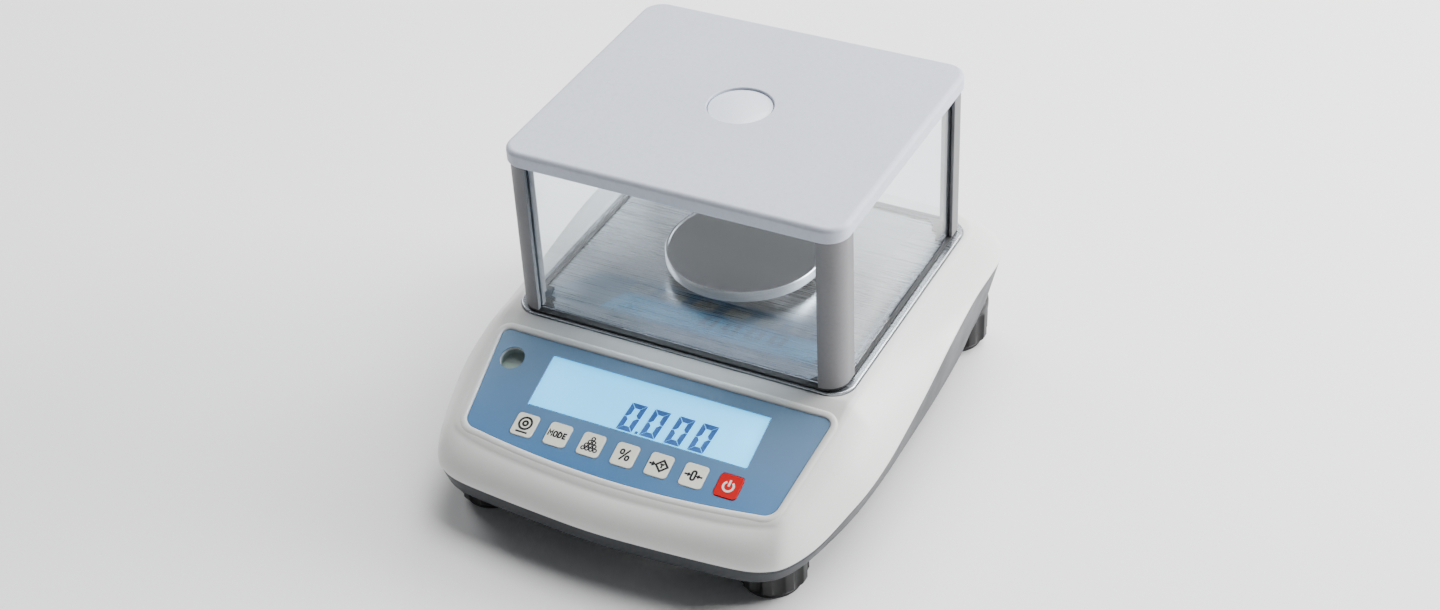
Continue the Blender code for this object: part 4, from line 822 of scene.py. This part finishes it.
def draft_shield():
    signs = {"front_left": (-1, 1), "front_right": (1, 1), "rear_left": (-1, -1), "rear_right": (1, -1)}
    for corner, (x_sign, y_sign) in signs.items():
        low, high = span("post_" + corner)
        outline = [(x * x_sign, y * y_sign + TRAY_Y) for x, y in post_outline()]
        post = bake(bevel(prism("shield_post_" + corner, [outline], low.z, high.z), 0.3, 2, 45.0))
        dress(post, POST_GREY, "draft_shield", "post_grey", "post_" + corner, 40.0)
    for side in ("front", "rear", "left", "right"):
        low, high = span("pane_" + side)
        pane = block("glass_" + side, high - low, (low + high) / 2, 0.3)
        finish(pane, GLASS, "draft_shield", "shield_glass", "pane_" + side, 20.0)


def lid_cover():
    width, depth = LID_HIGH.x - LID_LOW.x, LID_HIGH.y - LID_LOW.y
    low, top, rim = LID_LOW.z, LID_HIGH.z, 16.5 * MM
    cover = tiered("lid_cover", lambda grow: tray_outline(grow, width, depth, 11.0 * MM),
                   edge_levels(low, top, 1.0, 2.6, 7))
    pocket = tiered("pocket", lambda grow: tray_outline(grow, width - 2 * rim, depth - 2 * rim, 5.5 * MM),
                    near(0, low, (0.4, -2.0), (0.4, 0), (0, 0.5), (0, 4.0), (-0.5, 4.5)))
    middle = (0.0, PAN_Y, 0.0)
    radius = (PLUG_HIGH.x - PLUG_LOW.x) / 2
    seat = PLUG_HIGH.z - 1.6 * MM - GAP
    profile = [(0.0, top + 2.0 * MM)] + near(radius, top, (1.1, 2.0), (1.1, 0), (0.75, -0.12), (0.6, -0.4))
    profile += near(radius, seat, (0.6, 0), (-2.2, 0)) + near(radius, low, (-2.2, -2.0))
    profile.append((0.0, low - 2.0 * MM))
    cut(cover, pocket, turned("port", profile, 96, middle))
    dress(cover, LID_GREY, "lid", "lid_grey", "windshield_lid", 50.0)

    low, high, spigot = PLUG_LOW.z, PLUG_HIGH.z, radius - 2.8 * MM
    profile = [(0.0, high)] + near(radius, high, (-0.4, 0), (-0.1, -0.12), (0, -0.4), (0, -1.6))
    profile += near(spigot, high, (0, -1.6)) + near(spigot, low, (0, 0.4), (-0.4, 0), (-1.6, 0), (-1.6, 1.2))
    profile.append((0.0, low + 1.2 * MM))
    finish(turned("port_plug", profile, 96, middle), PLUG_PALE, "plug", "plug_pale", "lid_plug")


def pan():
    radius, high, low = (PAN_HIGH.x - PAN_LOW.x) / 2, PAN_HIGH.z, PAN_LOW.z
    profile = [(0.0, high - 0.3 * MM)]
    profile += near(radius, high, (-2.2, -0.3), (-1.7, -0.22), (-1.2, 0), (-0.75, 0), (-0.3, -0.16),
                    (0, -0.6))
    profile += near(radius, low, (0, 0.3), (-0.15, 0), (-0.9, 0))
    profile += near(radius, high, (-0.9, -1.6), (-1.6, -1.2))
    profile.append((0.0, high - 1.2 * MM))
    finish(turned("pan_dish", profile, 160, (0.0, PAN_Y, 0.0)), PAN_STEEL, "pan", "pan_steel", "weighing_pan",
           30.0)


# Control panel

def line(shape, points, width, low, high, closed=False):
    """A flat stroke of even width, mitred at its bends."""
    count = len(points)
    sides = []
    for index, (x, y) in enumerate(points):
        before = points[index - 1] if index or closed else None
        after = points[(index + 1) % count] if index < count - 1 or closed else None
        first = Vector((x - before[0], y - before[1])).normalized() if before else None
        second = Vector((after[0] - x, after[1] - y)).normalized() if after else None
        along = ((first or second) + (second or first)).normalized()
        normal = Vector((-along.y, along.x))
        reach = width / 2
        if first and second:
            reach /= max(0.5, normal.dot(Vector((-second.y, second.x))))
        sides.append((Vector((x, y)) + normal * reach, Vector((x, y)) - normal * reach))
    rows = [[shape.verts.new((*point, z)) for point, z in ((a, low), (b, low), (b, high), (a, high))]
            for a, b in sides]
    pairs = list(zip(rows, rows[1:])) + ([(rows[-1], rows[0])] if closed else [])
    for first, second in pairs:
        for index in range(4):
            following = (index + 1) % 4
            shape.faces.new((first[index], second[index], second[following], first[following]))
    if not closed:
        shape.faces.new(rows[0])
        shape.faces.new(rows[-1][::-1])


def icon_strokes(name):
    """Each key's symbol, in millimetres from the key's middle: (points, width, closed) strokes."""
    def bar(width, *points):
        return list(points), width, False

    def loop(width, points):
        return points, width, True

    def arrow(start, end, barb, tip, rise, width, head):
        return [bar(width, (start, 0.0), (end, 0.0)), bar(head, (barb, rise), (tip, 0.0), (barb, -rise))]

    if name == "calibrate":
        return [loop(0.72, circle(0.0, 0.75, 2.95, 48)), loop(0.72, circle(0.0, 0.75, 1.1, 32)),
                bar(0.62, (-2.9, -3.75), (2.9, -3.75))]
    if name == "mode":
        bow = arc((1.05, 0.35), 0.85, 90, 0, 4) + arc((1.05, -0.35), 0.85, 0, -90, 4)
        return [bar(0.5, (-4.45, -1.45), (-4.45, 1.45), (-3.6, -0.1), (-2.75, 1.45), (-2.75, -1.45)),
                loop(0.55, rounded(1.45, 2.4, 0.6, -1.15, 0.0, 5)),
                loop(0.55, [(0.45, -1.2), (0.45, 1.2), (1.05, 1.2)] + bow),
                bar(0.55, (4.25, 1.2), (2.9, 1.2), (2.9, -1.2), (4.25, -1.2)),
                bar(0.5, (2.9, 0.0), (4.0, 0.0))]
    if name == "count":
        return [loop(0.42, circle((place - row / 2) * 2.0, 2.9 - row * 1.75, 0.78, 20))
                for row in range(4) for place in range(row + 1)]
    if name == "percent":
        return [*(loop(0.6, rounded(1.5, 2.1, 0.74, x, y, 5)) for x, y in ((-1.6, 1.3), (1.6, -1.3))),
                bar(0.62, (-1.7, -2.9), (1.7, 2.9))]
    if name == "tare":
        return [loop(0.68, [(4.3, 0.0), (1.45, 2.75), (-1.4, 0.0), (1.45, -2.75)]),
                *arrow(-4.7, -2.2, -3.3, -1.9, 0.95, 0.62, 0.5),
                bar(0.6, (0.45, 0.75), (2.45, 0.75)), bar(0.6, (1.45, 0.75), (1.45, -1.2))]
    if name == "zero":
        return [loop(0.68, rounded(1.75, 4.4, 0.87, 0.0, 0.0, 8)),
                *arrow(-4.3, -1.75, -2.7, -1.6, 0.8, 0.58, 0.46),
                *arrow(4.3, 1.75, 2.7, 1.6, 0.8, 0.58, 0.46)]
    return [bar(0.66, *arc((0.0, -0.2), 2.35, 125, 415, 40)), bar(0.66, (0.0, -0.1), (0.0, 3.0))]


def key_outline(grow, x=0.0, y=0.0):
    return rounded(KEY_WIDTH + 2 * grow, KEY_HEIGHT + 2 * grow, KEY_R + grow, x, y)


def keys():
    low, high = -0.75 * MM, KEY_TOP
    stalk = near(0, low, (0, 0.3), (2.0, 0.3)) + near(0, 0, (2.0, -7.1), (1.8, -7.3), (0, -7.3))
    for name, x in zip(KEY_NAMES, key_places()):
        body, place = "key_" + name, PANEL @ move((x, -KEY_DOWN, 0.0))
        cap = tiered("cap_" + name, key_outline, edge_levels(low, high - 0.03 * MM, 0.1, 0.35, 4))
        stem = turned("stem", stalk, 32)
        cut(cap, stem, operation="UNION").data.transform(place)
        mat, ink, slot = (RED, WHITE_INK, "key_red") if name == "power" else (IVORY, INK, "key_ivory")
        dress(cap, mat, body, slot, body, 50.0)
        shape = bmesh.new()
        for points, width, closed in icon_strokes(name):
            line(shape, [(ICON_SCALE * px, ICON_SCALE * py) for px, py in points], ICON_STROKE * width,
                 high - 0.06 * MM, high, closed)
        finish(new_object("icon_" + name, shape, place), ink, body, slot)


def segment_outlines(width, height, stroke, gap):
    """Seven-segment bars of a lit zero, each a mitred outline from the digit's lower left."""
    half, inner = height / 2, stroke + gap * 0.4
    top = [(gap, height), (width - gap, height), (width - inner - gap, height - stroke),
           (inner + gap, height - stroke)]
    upper = [(width, height - gap), (width, half + gap), (width - stroke / 2, half + gap),
             (width - stroke, half + gap + stroke / 2), (width - stroke, height - stroke - gap)]
    bars = [top, upper, [(width - x, y) for x, y in upper]]
    return bars + [[(x, height - y) for x, y in bar] for bar in bars]


def display():
    margin, thickness = mm(4.0, 5.6)
    body = block("display_glass", (LCD_WIDTH + margin, LCD_HEIGHT + margin, thickness),
                 (LCD_RIGHT, -LCD_DOWN, -OVERLAY_POCKET - thickness / 2), 0.3, PANEL)
    finish(body, SCREEN, "case", "lcd_screen", "lcd_module")

    foot, slant, dot = -45.0 * MM, 0.12, 1.5 * MM
    zero = segment_outlines(*mm(8.2, 15.4, 2.65, 0.13))
    bars = [(left, bar) for left in (-9.2, 3.0, 15.9, 28.2) for bar in zero]
    bars.append((0.55, [(0, 0), (dot, 0), (dot, dot), (0, dot)]))
    shape = bmesh.new()
    for left, bar in bars:
        outline_prism(shape, [(left * MM + x + slant * y, foot + y) for x, y in bar],
                      -OVERLAY_POCKET + 0.03 * MM, -OVERLAY_POCKET + 0.16 * MM)
    finish(new_object("display_digits", shape, PANEL), DIGIT_INK, "case", "lcd_screen")

    # An angle under the bevel's keeps the window's face flat, so the display shows evenly through it.
    lens = tiered("display_window", lambda grow: panel_holes(grow, 0.4 * MM + grow)[0],
                  edge_levels(FILM_LOW, FILM_TOP, 0.05, 0.1, 2), PANEL)
    finish(lens, LENS, "case", "lens_clear", "display_lens", 10.0)


def keypad_film():
    film = tiered("keypad_film_sheet", film_outline, edge_levels(FILM_LOW, FILM_TOP, 0.05, 0.15, 2), PANEL)
    holes = panel_holes(GAP, 0.5 * MM)
    holes += [key_outline(GAP, x, -KEY_DOWN) for x in key_places()]
    cut(film, prism("holes", holes, -3.0 * MM, 3.0 * MM, PANEL))
    dress(film, FILM, "case", "keypad_film", "keypad_overlay", 40.0)


def level():
    low, high = span("level_vial")
    x, y, _ = centre = plan_centre("level_vial")
    radius, top = (high.x - low.x) / 2, high.z
    profile = rounded_profile([(0.0, top), (radius, top), (radius, low.z), (0.0, low.z)], 1.4 * MM, 6)
    finish(turned("bubble_vial", profile, 64, centre), FLUID, "case", "vial_fluid", "level_vial")
    profile = near(LEVEL_R + 0.3 * MM, 0, (0, -6.6), (0, -2.8), (0.8, -2.8), (0.8, -7.4))
    sleeve = turned("level_sleeve", near(0, 0, (0, -6.6)) + profile + near(0, 0, (0, -7.4)), 48)
    sleeve.data.transform(PANEL @ move((-LEVEL_LEFT, -LEVEL_DOWN, 0.0)))
    finish(sleeve, SLEEVE, "case", "vial_cup")
    turn, (wide, tall) = [pi * step / 12 for step in range(13)], mm(2.6, 0.9)
    bubble = turned("air_bubble", [(wide * sin(a), top - 1.5 * MM + tall * cos(a)) for a in turn],
                    40, (x + 1.2 * MM, y + 1.0 * MM, 0.0))
    finish(bubble, LENS, "case", "vial_fluid")
    ring = near(0, top, (3.7, -2.6), (4.0, -2.6), (4.0, -2.9), (3.7, -2.9), (3.7, -2.6))
    finish(turned("level_ring", ring, 48, centre), INK, "case", "vial_fluid")


# Feet, sockets and screws

def knob_radius(z, angle):
    """The foot knob's radius at a height and an angle: a rounded wall with round-topped flutes."""
    flutes, flute_r, flute_end = 10, 4.2 * MM, 4.6 * MM
    reach = FOOT_R + 0.55 * flute_r
    past = max(FOOT_LOW + FOOT_ROUND - z, z - FOOT_TOP + FOOT_ROUND, 0.0)
    wall = FOOT_R - FOOT_ROUND + sqrt(max(0.0, FOOT_ROUND ** 2 - past ** 2))
    arch = min(1.0, max(0.0, (FOOT_TOP - flute_end - z) / flute_r))
    size = flute_r * sqrt(1 - (1 - arch) ** 2)
    turn = (angle * flutes / (2 * pi)) % 1.0 - 0.5
    turn *= 2 * pi / flutes
    side = reach * sin(turn)
    if abs(side) >= size:
        return wall
    return min(wall, reach * cos(turn) - sqrt(size ** 2 - side ** 2))


def feet():
    heights = [FOOT_LOW + FOOT_ROUND * (1 - cos(radians(a))) for a in range(0, 91, 15)]
    heights += [FOOT_LOW + FOOT_ROUND + step * 1.5 * MM for step in range(1, 9)]
    heights += [FOOT_TOP - FOOT_ROUND - step * 0.45 * MM for step in range(15, -1, -1)]
    heights += [FOOT_TOP - FOOT_ROUND + FOOT_ROUND * sin(radians(a)) for a in range(15, 91, 15)]
    steps, thread_pitch = 200, 1.25 * MM
    turn = [2 * pi * step / steps for step in range(steps)]
    loops = []
    for z in sorted(set(heights)):
        radii = [knob_radius(z, a) for a in turn]
        loops.append([(r * cos(a), r * sin(a), z) for r, a in zip(radii, turn)])
    bore = near(0, FOOT_TOP, (0, 1.0), (3.3, 1.0), (3.3, -6.0), (0, -6.0))
    sole = [(0.0, PAD_HEIGHT)] + near(PAD_R, PAD_HEIGHT, (-0.3, 0), (0, -0.3))
    sole += near(PAD_R, 0, (0, 0.9), (-0.25, 0.3), (-0.8, 0))
    for groove in (11.2, 8.2, 5.2):
        sole += near(0, 0, (groove, 0), (groove - 0.3, 0.6), (groove - 0.9, 0.6), (groove - 1.2, 0))
    sole.append((0.0, 0.0))
    for corner in CORNERS:
        place = plan_centre("foot_knob_" + corner)
        knob = loft("knob_body_" + corner, loops, move(place))
        cut(knob, turned("bore", bore, 32, place))
        dress(knob, FOOT, "knob_" + corner, "foot_plastic", "foot_knob_" + corner, 40.0)
        pad = turned("pad_" + corner, sole, 72, place)
        finish(pad, RUBBER, "foot_" + corner, "rubber", "foot_pad_" + corner)

        low, high = span("foot_stud_" + corner)
        thread = [(0.0, high.z)] + near(STUD_R, high.z, (-0.7, 0), (-0.35, -0.4))
        for turns in range(int((high.z - low.z - 1.0 * MM) / thread_pitch)):
            z = high.z - 0.6 * MM - turns * thread_pitch
            thread += [(STUD_R, z - 0.3 * thread_pitch), (STUD_R - 0.55 * MM, z - 0.8 * thread_pitch)]
        thread += near(STUD_R, low.z, (0, 0.2), (0, 0)) + [(0.0, low.z)]
        stud = turned("stud_" + corner, thread, 40, place)
        finish(stud, FASTENER, "knob_" + corner, "fastener_steel", "foot_stud_" + corner, 25.0)


def sockets():
    low, high = span("dc_jack")
    face, depth = high.y, (high.y - low.y) - 3.0 * MM
    socket = block("power_inlet", high - low, (low + high) / 2, 0.5)
    turn, place = Matrix.Rotation(-pi / 2, 4, "X"), (JACK_X, face, PORT_Z)
    profile = near(0, 0, (0, 5.0), (3.9, 5.0), (3.9, 0), (3.3, -0.6)) + near(0, -depth, (3.3, 0), (0, 0))
    cut(socket, turned("bore", profile, 48, place, turn))
    dress(socket, BLACK, "case", "connector_black", "dc_jack")
    profile = near(0, 0, (0, -1.0), (1.0, -1.0)) + near(0, -depth, (1.0, -0.5), (0, -0.5))
    pin = turned("inlet_pin", rounded_profile(profile, 0.6 * MM), 32, place, turn)
    finish(pin, NICKEL, "case", "connector_nickel")

    low, high = span("serial_port")
    flange_y = face - 4.0 * MM
    flange = block("port_flange", (high.x - low.x, 1.0 * MM, high.z - low.z), (PORT_X, flange_y, PORT_Z), 0.3)

    def shell_outline(grow):
        wide, tall, lean, radius = 8.5 * MM + grow, 4.3 * MM + grow, 1.0 * MM, 1.6 * MM
        points = []
        ends = ((wide - lean, -tall, -90), (wide, tall, 0), (-wide, tall, 90), (-wide + lean, -tall, 180))
        for x, y, start in ends:
            centre = (x - copysign(radius, x), y - copysign(radius, y))
            points += arc(centre, radius, start, start + 90, 5)
        return points

    place = move((PORT_X, flange_y, PORT_Z)) @ turn @ Matrix.Rotation(pi, 4, "Z")
    profile = near(0, 0, (0, -0.6), (0.35, -0.2), (0, 0.4), (0, 3.8), (-0.1, 4.0), (-0.5, 4.0), (-0.5, -0.6))
    nose = tiered("nose", shell_outline, profile, place, ring=True)
    finish(merged("port_shell", [flange, nose]), NICKEL, "case", "connector_nickel", "serial_port")
    core = tiered("port_core", shell_outline, near(0, 0, (-0.7, -0.4), (-0.7, 1.0), (-1.0, 1.2)), place)
    finish(core, BLACK, "case", "connector_black")

    profile = rounded_profile(near(0, 0, (0, 3.6), (0.5, 3.6), (0.5, 0.9), (0, 0.9)), 0.5 * MM)
    spots = [((index - (count - 1) / 2) * 2.77 * MM, row * 1.42 * MM, 0.0)
             for row, count in ((1, 5), (-1, 4)) for index in range(count)]
    pins = [turned("pin", profile, 16, matrix=place @ move(spot)) for spot in spots]
    finish(merged("port_pins", pins), GOLD, "case", "connector_nickel")
    posts = []
    for x in mm(-12.5, 12.5):
        post = prism("post", [circle(x, 0.0, 2.6 * MM, 6)], 0.3 * MM, 4.4 * MM)
        cut(post, prism("thread", [circle(x, 0.0, 1.3 * MM, 24)], 1.5 * MM, 6.0 * MM))
        post.data.transform(place)
        posts.append(post)
    finish(merged("port_posts", posts), FASTENER, "case", "fastener_steel")


def screws():
    for index, node in enumerate(SCREWS, 1):
        low, high = span(node)
        x, y, _ = place = plan_centre(node)
        head, head_r, thread_r, core_r, pitch = low.z + SCREW_HEAD, 3.8, 1.9, 1.45, 1.2 * MM
        profile = near(0, high.z, (0, 0), (1.0, 0), (1.5, -1.0))
        z = high.z - 1.4 * MM
        while z > head + 1.6 * MM:
            profile += near(0, z, (thread_r, 0), (core_r, -0.6))
            z -= pitch
        profile += near(0, head, (thread_r, 0.2), (thread_r, 0), (head_r, 0), (head_r, -0.5))
        profile += [(head_r * MM * cos(radians(a)), head - 0.5 * MM - 1.9 * MM * sin(radians(a)))
                    for a in (30, 50, 70)] + [(0.0, low.z)]
        screw = turned(f"case_screw_{index}", profile, 40, place)
        arms = [block("arm", size, (x, y, low.z)) for size in (mm(4.2, 0.9, 2.6), mm(0.9, 4.2, 2.6))]
        dress(cut(screw, *arms), FASTENER, "case", "fastener_steel", node, 30.0)


def battery_cover():
    low, high = span("battery_door")
    door = block("battery_cover", high - low, (low + high) / 2, 0.4)
    ribs = [block("rib", mm(24.0, 1.2, 1.4), ((low.x + high.x) / 2, high.y - (5 + 2.6 * index) * MM, low.z))
            for index in range(4)]
    dress(cut(door, *ribs), DARK, "case", "case_dark", "battery_door")


# CAD nodes that stay, with their finishes

KEPT = {
    RUBBER: ("base_gasket",), CIRCUIT: ("display_board", "main_board"), RIBBON: ("display_ribbon",),
    ALUMINIUM: ("pan_support", "load_arm", "load_cell", "cell_spacer", "base_plate"),
    FASTENER: ("cell_bolt_1", "cell_bolt_2"), WRAP: ("battery",), CUP: ("level_cup",),
}


def dress_kept_nodes():
    for mat, names in KEPT.items():
        for slot in (slot for name in names for slot in frame["nodes"][name].material_slots):
            slot.material = mat


# Studio

def studio():
    shape = bmesh.new()
    bmesh.ops.create_grid(shape, x_segments=1, y_segments=1, size=4.0)
    floor = new_object("studio_floor", shape)
    n = Nodes("floor_paper")
    tint = n.mix(n.spread(n.noise(3.0), 0.0, 1.0), (0.90, 0.90, 0.90), (0.93, 0.93, 0.93))
    n.set(Base_Color=tint, Roughness=0.9)
    floor.data.materials.append(n.material)

    world = bpy.data.worlds.new("studio")
    bpy.context.scene.world = world
    world.use_nodes = True
    background = world.node_tree.nodes["Background"]
    background.inputs["Color"].default_value = (0.93, 0.96, 1.0, 1.0)
    background.inputs["Strength"].default_value = 0.13
    target = Vector((0.0, 0.0, 0.08))
    # Name, place, size and power of each lamp
    lamps = (("top", (0.25, 0.80, 1.6), 1.6, 74.0), ("right", (1.5, 1.0, 0.72), 0.9, 72.0),
             ("left", (-1.4, 0.7, 0.9), 0.8, 12.0))
    for name, place, size, power in lamps:
        light = bpy.data.lights.new(name, "AREA")
        light.size, light.energy = size, power
        lamp = add_object(name, light)
        lamp.location = place
        lamp.rotation_euler = (target - Vector(place)).to_track_quat("-Z", "Y").to_euler()


def camera():
    """The camera as fitted to the photo."""
    azimuth, elevation, roll = (radians(angle) for angle in (28.494, 36.738, -3.014))
    turn = (Matrix.Rotation(azimuth, 4, "Z") @ Matrix.Rotation(pi / 2 - elevation, 4, "X")
            @ Matrix.Rotation(roll, 4, "Z"))
    lens = bpy.data.cameras.new("camera")
    lens.lens, lens.sensor_width = 55.757, 36.0
    view = add_object("camera", lens)
    view.matrix_world = move((0.4186, -0.7680, 0.7204)) @ turn
    bpy.context.scene.camera = view


camera()
upper_shell()
bezel_bead()
lower_shell()
tray_sheet()
draft_shield()
lid_cover()
pan()
keypad_film()
display()
keys()
level()
feet()
sockets()
screws()
battery_cover()
dress_kept_nodes()
studio()
